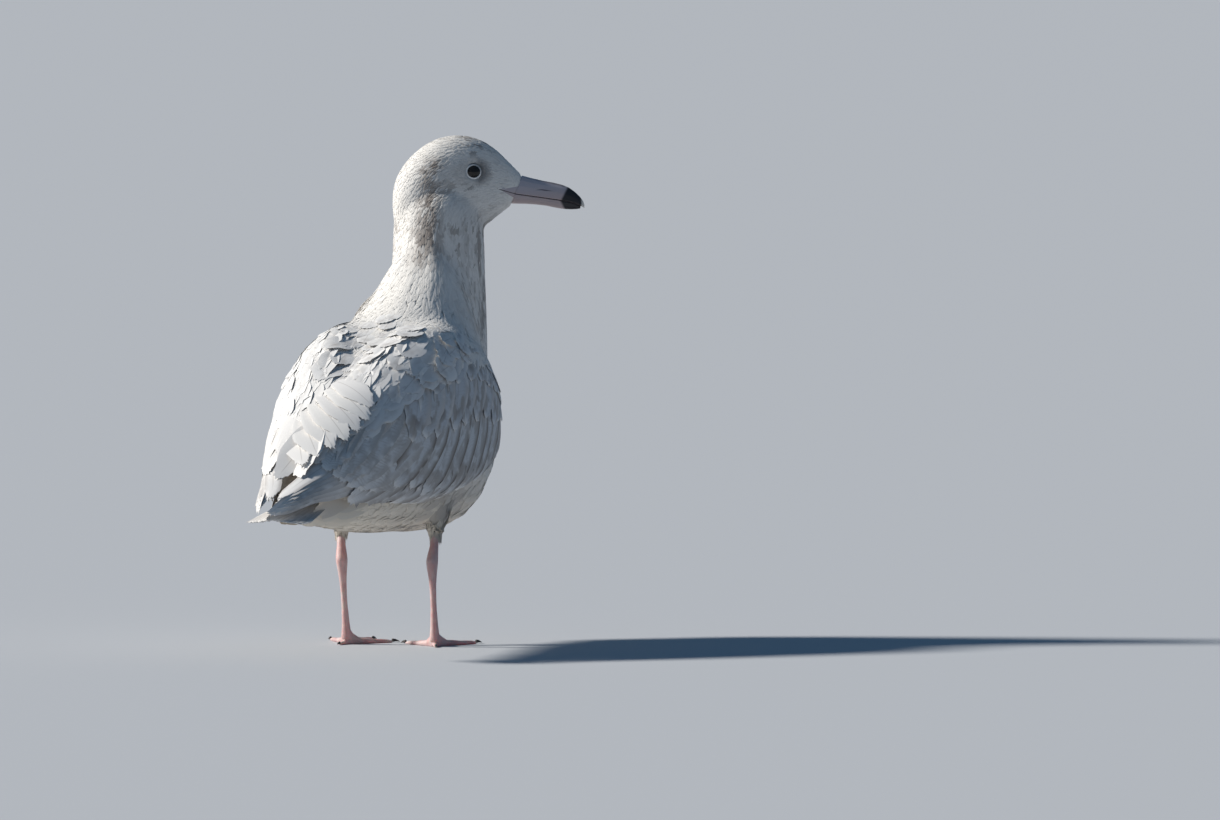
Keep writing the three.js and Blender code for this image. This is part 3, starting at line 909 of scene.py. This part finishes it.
roots = scatter(skin.data, NECK_SPACING, on_neck, rng)
lengths = NECK_FEATHER["length"] * rng.uniform(0.8, 1.2, len(roots))
lengths *= 1 - 0.4 * ease(roots[:, 2], 0.33, SKULL_FOOT)
lines, ups = ground.follow(roots, lengths, 4, 0.2, rng)
back_ground = Ground(cover_mesh)
over, over_ups = back_ground.settle(lines.reshape(-1, 3))
low_down = (1 - ease(lines[..., 2], 0.285, 0.335))[..., None]
lines = lines + (over.reshape(lines.shape) - lines) * low_down
ups = unit(ups + (over_ups.reshape(lines.shape) - ups) * low_down)
bunched = hump(lines[..., 2], 0.284, 0.028) * hump(zero_y - lines[..., 1], 0.066, 0.050)
bunched = bunched * ease(lines[..., 0] - middle_x, 0.015, 0.045)
lines = lines + ups * (BUNCHING * bunched)[..., None]
neck_tuft = VanePlan(4, 4, body=0.7)
for side_name, chosen in (("left", roots[:, 0] >= middle_x), ("right", roots[:, 0] < middle_x)):
    lay_vanes(
        f"neck_feathers_{side_name}", neck_tuft, lines[chosen], ups[chosen],
        NECK_FEATHER["half_width"] * rng.uniform(0.8, 1.25, chosen.sum()), head_plumage, rng,
        root_lift=-0.0001, tip_lift=0.0004, arch=0.04, thickness=0.00025, roundness=0.2, fray=0.8,
    )


# ---------------------------------------------------------------- Body feathers
# Broad soft contour feathers with frayed edges on the breast, belly, flanks, mantle and rump. Each is one
# curved vane that covers the root of the next, like a tile.
BODY_SPACING = 0.0052
BODY_FEATHER = {"length": 0.030, "half_width": 0.0062}
BODY_TOP = 0.254
BODY_END = -0.156  # behind this the undertail coverts close the body


def on_trunk(points):
    off_wings = nearness(wing_tree, points, 0.02) > WING_DEPTH + 0.0012
    return (points[:, 2] <= BODY_TOP) & off_wings & (zero_y - points[:, 1] > BODY_END)


body_plumage = plumage("body_plumage", barb_size=0.0011)
roots = scatter(skin.data, BODY_SPACING, on_trunk, rng)
lengths = BODY_FEATHER["length"] * rng.uniform(0.8, 1.2, len(roots))
lines, ups = ground.follow(roots, lengths, 6, 0.14, rng)
contour = VanePlan(7, 5, body=0.86)
for side_name, chosen in (("left", roots[:, 0] >= middle_x), ("right", roots[:, 0] < middle_x)):
    lay_vanes(
        f"body_feathers_{side_name}", contour, lines[chosen], ups[chosen],
        BODY_FEATHER["half_width"] * rng.uniform(0.85, 1.2, chosen.sum()), body_plumage, rng,
        root_lift=-0.0004, tip_lift=0.0008, arch=0.03, thickness=0.0003, roundness=0.3, fray=0.9,
    )


# ---------------------------------------------------------------- Cuffs
# Short soft feathers that close round the top of each bare leg. They hang in a ring from the thigh and
# narrow to the shank.
CUFF = {"count": 200, "length": 0.011, "half_width": 0.0011, "leg_radius": 0.0050, "top_radius": 0.009}


def straight(starts, ends, stops):
    """A straight line from each start to its end, with this many stops."""
    run = np.linspace(0, 1, stops)[None, :, None]
    return starts[:, None] * (1 - run) + ends[:, None] * run


for side_name in ("left", "right"):
    leg_points = points_of(nodes[f"leg_{side_name}"].data)
    leg_top = leg_points[leg_points[:, 2] > leg_points[:, 2].max() - 0.012].mean(0)
    turns = rng.uniform(0, math.tau, CUFF["count"])
    out = np.stack([np.cos(turns), np.sin(turns), 0 * turns], axis=1)
    heights = leg_points[:, 2].max() + rng.uniform(-0.001, 0.008, CUFF["count"])
    axis = leg_top * [1, 1, 0]
    start, _ = ground.settle(axis + out * CUFF["top_radius"] + heights[:, None] * [0, 0, 1])
    end = axis + out * CUFF["leg_radius"] + (heights - CUFF["length"])[:, None] * [0, 0, 1]
    lines = straight(start, end, 5)
    ups = np.broadcast_to(out[:, None], lines.shape)
    lay_vanes(
        f"cuff_{side_name}", neck_tuft, lines, ups,
        CUFF["half_width"] * rng.uniform(0.8, 1.2, CUFF["count"]), body_plumage, rng,
        root_lift=0.0, tip_lift=0.0003, arch=0.06, thickness=0.00025, roundness=0.3, fray=0.8,
    )


# ---------------------------------------------------------------- Shape of the folded wing
# A map of the gull's side, by how far forward it is and how far round from the wing's upper edge, 0,
# to its lower edge, 1. Beyond those edges it goes on over the mantle and the flank.
SIDE_FORWARD = (-0.2735, 0.1105)
SIDE_ROUND = (-0.5, 1.15)
STATIONS = 80
ROUNDS = 50
HEART = [  # the line that the side is seen from, as forward and up
    (-0.28, 0.1295), (-0.238, 0.138), (-0.172, 0.157), (-0.10, 0.178), (0.0, 0.198), (0.112, 0.206),
]

right_wing = tree_of("wing_right", "primaries_right")
form = copied("wing_right", "primaries_right", "tail")
form.from_mesh(cover_mesh)
right_side = BVHTree.FromBMesh(form)
form.free()
station_at = np.linspace(*SIDE_FORWARD, STATIONS)
round_at = np.linspace(*SIDE_ROUND, ROUNDS)
side_map = np.zeros((STATIONS, ROUNDS, 3))
edges = []  # how far round the wing's own edges are at each station
profiles = []
for forward in station_at:
    heart = on_body(0, forward, float(np.interp(forward, *zip(*HEART))))
    hits, on_wing = [], []
    for angle in np.radians(np.arange(-50, 176, 1.5)):
        way = Vector((-math.sin(angle), 0, math.cos(angle)))
        hit = right_side.ray_cast(heart + way * 0.4, -way, 0.4)
        wing_hit = right_wing.ray_cast(heart + way * 0.4, -way, 0.4)
        if hit[0] is None:
            continue
        is_wing = wing_hit[0] is not None and wing_hit[3] < hit[3] + 0.0015
        hits.append([middle_x - hit[0].x, forward, hit[0].z])
        on_wing.append(is_wing)
    hits = np.array(hits)
    run = np.concatenate([[0], np.cumsum(np.linalg.norm(np.diff(hits, axis=0), axis=1))])
    covered = run[np.array(on_wing)]
    edges.append((covered.min(), covered.max()) if len(covered) else edges[-1])
    profiles.append((run, hits))
for station, ((start, end), (run, hits)) in enumerate(zip(edges, profiles)):
    target = start + round_at * (end - start)
    for axis in range(3):
        side_map[station, :, axis] = np.interp(target, run, hits[:, axis])
for _ in range(3):
    even_out(side_map)
    even_out(side_map.swapaxes(0, 1))
side_facing = unit(np.cross(np.gradient(side_map, axis=1), np.gradient(side_map, axis=0)))


def from_side_map(table, forward, turn):
    """Values of a table of the side at these places."""
    column = np.clip((forward - SIDE_FORWARD[0]) / (SIDE_FORWARD[1] - SIDE_FORWARD[0]), 0, 1) * (STATIONS - 1)
    row = np.clip((turn - SIDE_ROUND[0]) / (SIDE_ROUND[1] - SIDE_ROUND[0]), 0, 1) * (ROUNDS - 1)
    i, j = np.minimum(column.astype(int), STATIONS - 2), np.minimum(row.astype(int), ROUNDS - 2)
    a, b = (column - i)[..., None], (row - j)[..., None]
    return (
        table[i, j] * (1 - a) * (1 - b) + table[i + 1, j] * a * (1 - b)
        + table[i, j + 1] * (1 - a) * b + table[i + 1, j + 1] * a * b
    )


def on_side(side, forward, turn):
    """Places on the gull's side, 1 for its left and -1 for its right, and the way they face."""
    spot = from_side_map(side_map, forward, turn)
    face = unit(from_side_map(side_facing, forward, turn))
    spots = np.stack([middle_x + side * spot[..., 0], zero_y - spot[..., 1], spot[..., 2]], axis=-1)
    return spots, np.stack([side * face[..., 0], -face[..., 1], face[..., 2]], axis=-1)


# ---------------------------------------------------------------- Wing feathers
# Rows of feathers that overlap like tiles: lesser, median and greater coverts, secondaries, tertials
# and scapulars. Each row is named by its first and last feather's root and tip, as forward and round.
WING_ROWS = [
    # name, first root, first tip, last root, last tip, the tips' bow,
    # count, half width, how far under the root and the tip are, roll, roundness, mottle (with its grey wash,
    # partly painted shade), bars, rim (painted shadow at the edges)
    ("secondaries", (0.020, 0.76), (-0.045, 1.09), (-0.090, 0.62), (-0.185, 0.88), (0, 0.03),
     8, 0.0125, 0.0022, 0.0002, 0.06, 0.2, 0.45, 0.10, 0.80),
    ("tertials", (-0.070, 0.62), (-0.165, 0.84), (-0.118, 0.14), (-0.208, 0.36), (0, 0.06),
     6, 0.0160, 0.0022, -0.0004, 0.05, 0.3, 0.45, 0.32, 0.55),
    ("greater", (0.098, 0.50), (0.056, 1.04), (-0.072, 0.52), (-0.128, 0.84), (0, 0.10),
     10, 0.0138, 0.0016, -0.0010, 0.055, 0.25, 0.60, 0.12, 1.00),
    ("median", (0.100, 0.32), (0.072, 0.68), (-0.076, 0.24), (-0.114, 0.62), (0, 0.03),
     10, 0.0150, 0.0016, -0.0004, 0.04, 0.4, 0.80, 0.15, 0.40),
    ("lesser_low", (0.102, 0.22), (0.084, 0.47), (-0.030, 0.16), (-0.070, 0.42), (0, 0),
     9, 0.0145, 0.0016, -0.0004, 0.035, 0.4, 0.75, 0.10, 0.10),
    ("lesser_high", (0.106, 0.08), (0.094, 0.32), (0.020, 0.02), (-0.018, 0.28), (0, 0),
     7, 0.0145, 0.0016, -0.0002, 0.035, 0.4, 0.55, 0.0, 0.06),
    ("scapulars", (-0.095, -0.02), (-0.140, 0.30), (-0.150, -0.12), (-0.222, 0.10), (0, 0.10),
     6, 0.0150, 0.0012, 0.0002, 0.03, 0.35, 0.05, 0.0, 0.0),
]
# The wings' paints are a lit and a shaded copy of one plumage: marks, grey wash and rim shadows are weaker on
# the left wing, in full sun, and full on the right wing, in shade. This is painted light and shade.
WING_SIDES = ((1, "left", 0.4), (-1, "right", 1.0))  # painted light and shade: marks fainter on the wing in full sun, full on the shaded one
SCATTERED_TIPS = 0.0030
PATH_STOPS = 12
wing_vane = VanePlan(11, 9, body=0.965)


def between(first, last, count):
    """Places on the side from the first to the last."""
    share = np.linspace(0, 1, count)[:, None]
    return np.array(first) * (1 - share) + np.array(last) * share


def laid_on_side(side, roots, tips, stops):
    """Lines over the gull's side from roots to tips, and the way that the side faces along them."""
    path = straight(roots, tips, stops)
    return on_side(side, path[..., 0], path[..., 1])


def side_row(side, first_root, first_tip, last_root, last_tip, bow, count, rng):
    """Lines of a row of feathers on one side, from its first feather to its last."""
    share = np.linspace(0, 1, count)[:, None]
    tips = between(first_tip, last_tip, count) + 4 * share * (1 - share) * np.array(bow)
    tips = tips + rng.normal(0, SCATTERED_TIPS, tips.shape) * [1, 3]
    return laid_on_side(side, between(first_root, last_root, count), tips, PATH_STOPS)


def stiffen(lines, ups, clearance):
    """Bends each feather in one plane, just clear of what it lies on."""
    up = unit(ups.mean(axis=1))[:, None]
    run = np.linspace(0, 1, lines.shape[1])[None, :, None]
    chord = straight(lines[:, 0], lines[:, -1], lines.shape[1])
    rise = ((lines - chord) * up).sum(2).max(axis=1)[:, None, None] + clearance
    return chord + up * 4 * run * (1 - run) * rise, np.broadcast_to(up, lines.shape)


for name, *ends, bow, count, half, root_under, tip_under, roll, roundness, mottle, bars, rim in WING_ROWS:
    for side, side_name, shade_paint_weight in WING_SIDES:
        # A lit copy of the paint for the left wing and a shaded copy for the right.
        paint = wing_paint(f"{name}_plumage_{side_name}", mottle * shade_paint_weight, bars * shade_paint_weight, rim * shade_paint_weight)
        lines, ups = side_row(side, *ends, bow, count, rng)
        if name == "scapulars":
            lines, ups = stiffen(lines, ups, 0.0005)
        lay_vanes(
            f"{name}_{side_name}", wing_vane, lines, ups, half * rng.uniform(0.90, 1.10, count), paint, rng,
            root_lift=-root_under, tip_lift=-tip_under, arch=0.0002 / half, thickness=0.0004,
            roundness=roundness, waist=0.35, fray=0.8, roll=side * roll, patch=0.016,
        )


# ---------------------------------------------------------------- Lifted fan
# On the right, seven long scapulars stand off the wing as one stiff white fan, with frayed ends. They
# root under the mantle.
FAN_ROOTS = ((-0.108, -0.14), (-0.158, -0.26))
FAN_TIPS = [
    (-0.132, 0.30), (-0.143, 0.36), (-0.157, 0.37), (-0.172, 0.36), (-0.186, 0.30), (-0.200, 0.20),
    (-0.212, 0.06),
]
FAN_HALF_WIDTH = 0.0135

fan_paint = wing_paint("fan_plumage", 0.0, 0.0, 0.0)
lines, ups = laid_on_side(-1, between(*FAN_ROOTS, len(FAN_TIPS)), np.array(FAN_TIPS), PATH_STOPS)
lines, ups = stiffen(lines, unit(ups + 2.0 * ups[:3].mean(axis=(0, 1))), 0.001)
lay_vanes(
    "scapular_fan", VanePlan(17, 10, body=0.95), lines, ups,
    FAN_HALF_WIDTH * rng.uniform(0.95, 1.1, len(FAN_TIPS)), fan_paint, rng,
    root_lift=-0.0010, tip_lift=0.0050, arch=0.03, thickness=0.0004,
    roundness=0.42, waist=0.5, fray=0.9, roll=0.06, patch=0.012,
)


# ---------------------------------------------------------------- Mantle and scapulars
# Loose frayed feathers over the shoulders and down the middle of the back, longer towards the tail. They
# lie over the roots of the wing's rows.
MANTLE_SPACING = 0.0080
MANTLE_FEATHER = {"front": 0.022, "back": 0.050}  # lengths
MANTLE_WIDTH = 0.36  # half the width, as a share of the length
MANTLE_END = -0.150
MANTLE_TOP = 0.296
# How high its lower edge is, by how far forward.
MANTLE_LOW = ([-0.19, -0.136, -0.064, 0.014, 0.084], [0.172, 0.204, 0.243, 0.258, 0.262])


def on_mantle(points):
    forward, up = zero_y - points[:, 1], points[:, 2]
    ragged_front = 0.060 - 0.030 * np.abs(np.sin(points[:, 0] * 110))
    fore_and_aft = (forward < ragged_front) & (forward > MANTLE_END)
    return fore_and_aft & (up > np.interp(forward, *MANTLE_LOW)) & (up < MANTLE_TOP)


mantle_paint = wing_paint("mantle_plumage", 0.25, 0.0, 0.0)
roots = scatter(cover_mesh, MANTLE_SPACING, on_mantle, rng)
forward = zero_y - roots[:, 1]
backness = ease(-forward, -0.05, 0.11)
lengths = MANTLE_FEATHER["front"] + (MANTLE_FEATHER["back"] - MANTLE_FEATHER["front"]) * backness
lengths *= rng.uniform(0.85, 1.15, len(roots))
lines, ups = back_ground.follow(roots, lengths, 7, 0.16, rng)
for _ in range(3):
    even_out(lines.swapaxes(0, 1))
ruffle = ease(forward, -0.085, -0.045) * (1 - ease(forward, 0.0, 0.030)) * rng.random(len(roots)) ** 3
ruffle *= ease(middle_x - roots[:, 0], -0.032, -0.010)
half_widths = lengths * MANTLE_WIDTH * rng.uniform(0.85, 1.1, len(roots)) * (1 - 0.25 * backness)
lay_vanes(
    "mantle_feathers", VanePlan(11, 7, body=0.88), lines, ups, half_widths, mantle_paint, rng,
    root_lift=-0.0006 - 0.0012 * ease(forward, 0.0, 0.030),
    tip_lift=0.0003 - 0.0010 * ease(forward, 0.0, 0.045) + 0.0045 * ruffle,
    arch=0.03, thickness=0.0003, roundness=0.25, waist=0.4, fray=0.9, patch=0.012,
)


# ---------------------------------------------------------------- Primaries
# Seven long narrow feathers make the tip of each wing, the outermost the longest and the lowest. They
# are stiff, lie flat on one another and root under the secondaries.
PRIMARY_ROOTS = ((-0.050, 0.95), (-0.100, 0.80))
PRIMARY_TIPS = [
    (-0.277, 0.56), (-0.270, 0.47), (-0.265, 0.38), (-0.261, 0.29), (-0.257, 0.20), (-0.254, 0.11),
    (-0.250, 0.02),
]
PRIMARY_HALF_WIDTH = 0.0092
PRIMARY_OVERHANG = 0.004  # how far the tips reach past the wing's own end

# Their rims are painted shadow along the feathers' edges.
flight_plumage = wing_paint("flight_plumage", 0.10, 0.0, 0.45)
for side, side_name in ((1, "left"), (-1, "right")):
    count = len(PRIMARY_TIPS)
    lines, ups = laid_on_side(side, between(*PRIMARY_ROOTS, count), np.array(PRIMARY_TIPS), 20)
    lines[:, -1] += unit(lines[:, -1] - lines[:, -3]) * PRIMARY_OVERHANG
    under = np.linspace(0.0030, 0.0012, count)
    primaries = lay_vanes(
        f"primary_feathers_{side_name}", VanePlan(9, 16, body=0.985), lines, ups,
        np.full(count, PRIMARY_HALF_WIDTH), flight_plumage, rng, root_lift=-under - 0.002, tip_lift=-under,
        arch=0.06, thickness=0.0006, roundness=0.08, waist=0.2, fray=0.2, roll=side * 0.10, patch=0.010,
    )
    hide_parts(f"primaries_{side_name}")


# ---------------------------------------------------------------- Tail feathers
# Twelve broad white feathers in a closed fan, the middle pair on top. They root in the rump and end just
# short of the wings' tips.
TAIL_FEATHERS = 12
TAIL_ROOT = {"forward": -0.165, "up": 0.141, "spread": 0.009}
TAIL_TIP = {"forward": -0.260, "up": 0.1222, "spread": 0.0222, "rounding": 0.010}
TAIL_DROOP = 0.0035  # how far the outer feathers hang below the middle pair
TAIL_HALF_WIDTH = 0.0105

spread = np.linspace(-1, 1, TAIL_FEATHERS)
tail_roots = np.array([
    on_body(share * TAIL_ROOT["spread"], TAIL_ROOT["forward"], TAIL_ROOT["up"] - TAIL_DROOP * abs(share))
    for share in spread
])
tail_tips = np.array([
    on_body(
        share * TAIL_TIP["spread"],
        TAIL_TIP["forward"] + TAIL_TIP["rounding"] * share**2,
        TAIL_TIP["up"] - TAIL_DROOP * abs(share),
    )
    for share in spread
])
lines = straight(tail_roots, tail_tips, 10)
ups = np.broadcast_to(np.array([0, 0.18, 0.98]), lines.shape)
tail = lay_vanes(
    "tail_feathers", VanePlan(9, 10, body=0.98), lines, ups, np.full(TAIL_FEATHERS, TAIL_HALF_WIDTH),
    flight_plumage, rng, root_lift=0.0, tip_lift=0.0, arch=0.08, thickness=0.0006, roundness=0.08, waist=0.3,
    fray=0.4, roll=np.sign(spread) * -0.05, patch=0.016,
)
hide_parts("tail")


# ---------------------------------------------------------------- Undertail coverts
# Two rings of soft feathers that run from the end of the body on to the underside of the tail. They
# close the body behind and hide the roots of the tail.
UNDERTAIL_RINGS = [
    # root's forward, tip's forward, the tips' half width and half height, count, half width
    (-0.152, -0.232, 0.018, 0.0030, 11, 0.0085),
    (-0.130, -0.206, 0.023, 0.0060, 13, 0.0085),
]
UNDERTAIL_HEART = 0.137  # how high the rings' middle is
UNDERTAIL_CLEARANCE = 0.0004

for number, (root_forward, tip_forward, wide, deep, count, half) in enumerate(UNDERTAIL_RINGS):
    turn = np.radians(np.linspace(-98, 98, count))
    out = np.stack([np.sin(turn), 0 * turn, -np.cos(turn)], axis=1)
    start, _ = ground.settle(np.array(on_body(0, root_forward, UNDERTAIL_HEART)) + out * 0.03)
    share = (tip_forward - TAIL_ROOT["forward"]) / (TAIL_TIP["forward"] - TAIL_ROOT["forward"])
    tail_up = TAIL_ROOT["up"] + (TAIL_TIP["up"] - TAIL_ROOT["up"]) * share
    end = np.array(on_body(0, tip_forward, tail_up - 0.0025)) + out * [wide, 0, deep]
    end[:, 1] -= 0.012 * np.sin(turn) ** 2
    lines = straight(start, end, 12)
    settled, facing = (rows.reshape(lines.shape) for rows in ground.settle(lines.reshape(-1, 3)))
    sunk = ((lines - settled) * facing).sum(2, keepdims=True) < UNDERTAIL_CLEARANCE
    lines = np.where(sunk, settled + facing * UNDERTAIL_CLEARANCE, lines)
    even_out(lines.swapaxes(0, 1))
    ups = np.broadcast_to(out[:, None], lines.shape)
    lay_vanes(
        f"undertail_{number}", contour, lines, ups, half * rng.uniform(0.9, 1.1, count), body_plumage, rng,
        root_lift=-0.0008, tip_lift=0.0002, arch=0.04, thickness=0.0004, roundness=0.3, fray=0.9, patch=0.012,
    )


# ---------------------------------------------------------------- Bill
# Horn, pinkish grey, with a black end that has a small pale point. The two halves shut on a dark lining,
# which shows between them as the line of the mouth.
BILL_GRAIN = 0.00045
BILL_BLACK = colour(0.018, 0.016, 0.018)
BILL_POINT = colour(0.75, 0.68, 0.60)
LINING_DEPTH = 0.0006  # how far the mouth's lining lies inside the horn


def mottled(name, spot, under, over, **finish):
    """A material of two colours in soft spots."""
    material, wire = new_material(name, **finish)
    wear(material, base=object_place(wire).speckle(spot).ramp(0.4, 0.6).paint(under, over))
    return material


horn, wire = new_material("bill_horn", Roughness=0.38, Specular_IOR_Level=0.5)
place = object_place(wire)
bill_x = place.along(tuple(head_forward), neck_axis)
bill_up = place.along((0, 0, 1), Vector())
shade = horn_tone(bill_up)
ridge = (bill_up - 0.408 + (bill_x - 0.073) * 0.24).ramp(-0.0022, -0.0004) * bill_x.ramp(0.078, 0.088)
shade = (ridge * 0.75).paint(shade, MOUTH_DARK)
slit = 1 - abs(bill_up - 0.3948 + (bill_x - 0.093) * 0.12).ramp(0.0002, 0.0008)
slit = bill_x.hill(0.0930, 0.0090) * slit
shade = (slit * 0.8).paint(shade, MOUTH_DARK)
shade = (bill_x - 0.5 * abs(bill_up - 0.385)).ramp(0.1055, 0.1085).paint(shade, BILL_BLACK)
shade = bill_x.ramp(0.1245, 0.1262).paint(shade, BILL_POINT)
wear(horn, base=shade, bump=place.speckle(0.002, (1, 1, 0.4)), strength=0.15)
mouth_line = mottled(
    "mouth_line", 0.002, colour(0.030, 0.022, 0.024), colour(0.05, 0.036, 0.038), Roughness=0.7
)
for name in ("bill_upper", "bill_lower"):
    half = remeshed(f"{name}_horn", BILL_GRAIN, 2, name)
    half.data.materials.append(horn)
    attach(half, "root")
    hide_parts(name)
inner = remeshed("mouth_lining", 0.0009, 4, "bill_upper", "bill_lower")
move_points(inner.data, points_of(inner.data) - facing_of(inner.data) * LINING_DEPTH)
inner.data.materials.append(mouth_line)
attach(inner, "root")


# ---------------------------------------------------------------- Eyes and lids
# Dark glossy eyes, each in a thin white ring of bare skin. The ring is spun round the way that the eye
# looks, and flattened a little, so its opening is wider than it is high.
EYE_RADIUS = 0.0074
LID_PROFILE = [  # degrees from the way the eye looks, and how far from its centre
    (50, 0.0072), (52, 0.0076), (55, 0.0079), (58, 0.0081), (62, 0.0080), (67, 0.0076), (88, 0.0070),
]
LID_DROOP = 0.86  # the opening's height for its width

iris = mottled(
    "iris", 0.001, colour(0.012, 0.010, 0.009), colour(0.022, 0.017, 0.013),
    Roughness=0.08, Specular_IOR_Level=0.35,
)
lid_skin, wire = new_material("lid_skin", Roughness=0.6)
place = object_place(wire)
lid_x = place.along(tuple(head_forward), neck_axis) - EYE_FORWARD
lid_up = place.along((0, 0, 1), eye_left)
# The ring is painted darker above and in front, as the shadow that the brow casts on it.
lid_unshaded = 1 - (lid_x * 0.8 + lid_up).ramp(0.000, 0.010) * 0.8  # painted shadow of the brow: darker above and in front
wear(lid_skin, base=lid_unshaded.paint(colour(0.30, 0.29, 0.29), colour(0.84, 0.83, 0.81)))
for side, eye, side_name in ((1, eye_left, "left"), (-1, eye_right, "right")):
    gaze = (head_left * side + head_forward * 0.16 + Vector((0, 0, 0.06))).normalized()
    form = bmesh.new()
    bmesh.ops.create_uvsphere(form, u_segments=48, v_segments=28, radius=EYE_RADIUS)
    bmesh.ops.translate(form, verts=form.verts, vec=eye)
    ball = mesh_object(f"eyeball_{side_name}", form)
    ball.data.shade_smooth()
    ball.data.materials.append(iris)
    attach(ball, "root")
    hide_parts(f"eye_{side_name}")

    form = bmesh.new()
    across = gaze.cross(Vector((0, 0, 1))).normalized()
    rim = [
        form.verts.new((gaze * math.cos(math.radians(turn)) + across * math.sin(math.radians(turn))) * away)
        for turn, away in LID_PROFILE
    ]
    line = [form.edges.new(pair) for pair in zip(rim, rim[1:])]
    bmesh.ops.spin(form, geom=rim + line, axis=gaze, cent=(0, 0, 0), angle=math.tau, steps=48, use_merge=True)
    bmesh.ops.remove_doubles(form, verts=form.verts, dist=1e-6)
    bmesh.ops.recalc_face_normals(form, faces=form.faces)
    for vert in form.verts:
        flat = Vector((vert.co.x, vert.co.y, vert.co.z * LID_DROOP))
        vert.co = flat.normalized() * vert.co.length
    bmesh.ops.translate(form, verts=form.verts, vec=eye)
    lid = mesh_object(f"eyelid_{side_name}", form)
    lid.data.shade_smooth()
    lid.data.materials.append(lid_skin)
    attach(lid, "root")


# ---------------------------------------------------------------- Legs and feet
# Flesh pink and scaly, with webs between the front toes. Leg, toes and webs are one skin, and each toe
# ends in a small dark claw of horn.
LEG_GRAIN = 0.0006
CLAW_GRAIN = 0.0003
SHANK_END = 0.030  # above this the bare leg is smoothed into one slim shank
SHANK_SMOOTHING = 40
SCALES_PER_METRE = 900
LEG_PINK = colour(0.62, 0.46, 0.44)
LEG_RED = colour(0.54, 0.34, 0.335)

leg_skin, wire = new_material("leg_skin", Roughness=0.5, Subsurface_Weight=0.1)
place = object_place(wire)
scales = place.node(
    "ShaderNodeTexVoronoi", {"feature": "DISTANCE_TO_EDGE"}, {"Vector": place, "Scale": SCALES_PER_METRE}
)
shade = place.speckle(0.006).ramp(0.4, 0.65).paint(LEG_PINK, LEG_RED)
wear(leg_skin, base=shade, bump=scales.ramp(0.0, 0.12), strength=0.3, distance=0.0003)
claw_horn = mottled(
    "claw_horn", 0.002, colour(0.03, 0.026, 0.024), colour(0.06, 0.05, 0.045), Roughness=0.4
)
for side_name in ("left", "right"):
    leg = remeshed(f"leg_and_foot_{side_name}", LEG_GRAIN, 2, f"leg_{side_name}", f"foot_{side_name}")
    form = bmesh.new()
    form.from_mesh(leg.data)
    relax(form, [vert for vert in form.verts if vert.co.z > SHANK_END], SHANK_SMOOTHING)
    form.to_mesh(leg.data)
    form.free()
    leg.data.shade_smooth()
    leg.data.materials.append(leg_skin)
    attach(leg, "root")
    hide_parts(f"leg_{side_name}", f"foot_{side_name}")
    for toe in ("inner", "middle", "outer", "hind"):
        claw = remeshed(f"claw_horn_{side_name}_{toe}", CLAW_GRAIN, 2, f"claw_{side_name}_{toe}")
        claw.data.materials.append(claw_horn)
        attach(claw, "root")
        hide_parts(f"claw_{side_name}_{toe}")
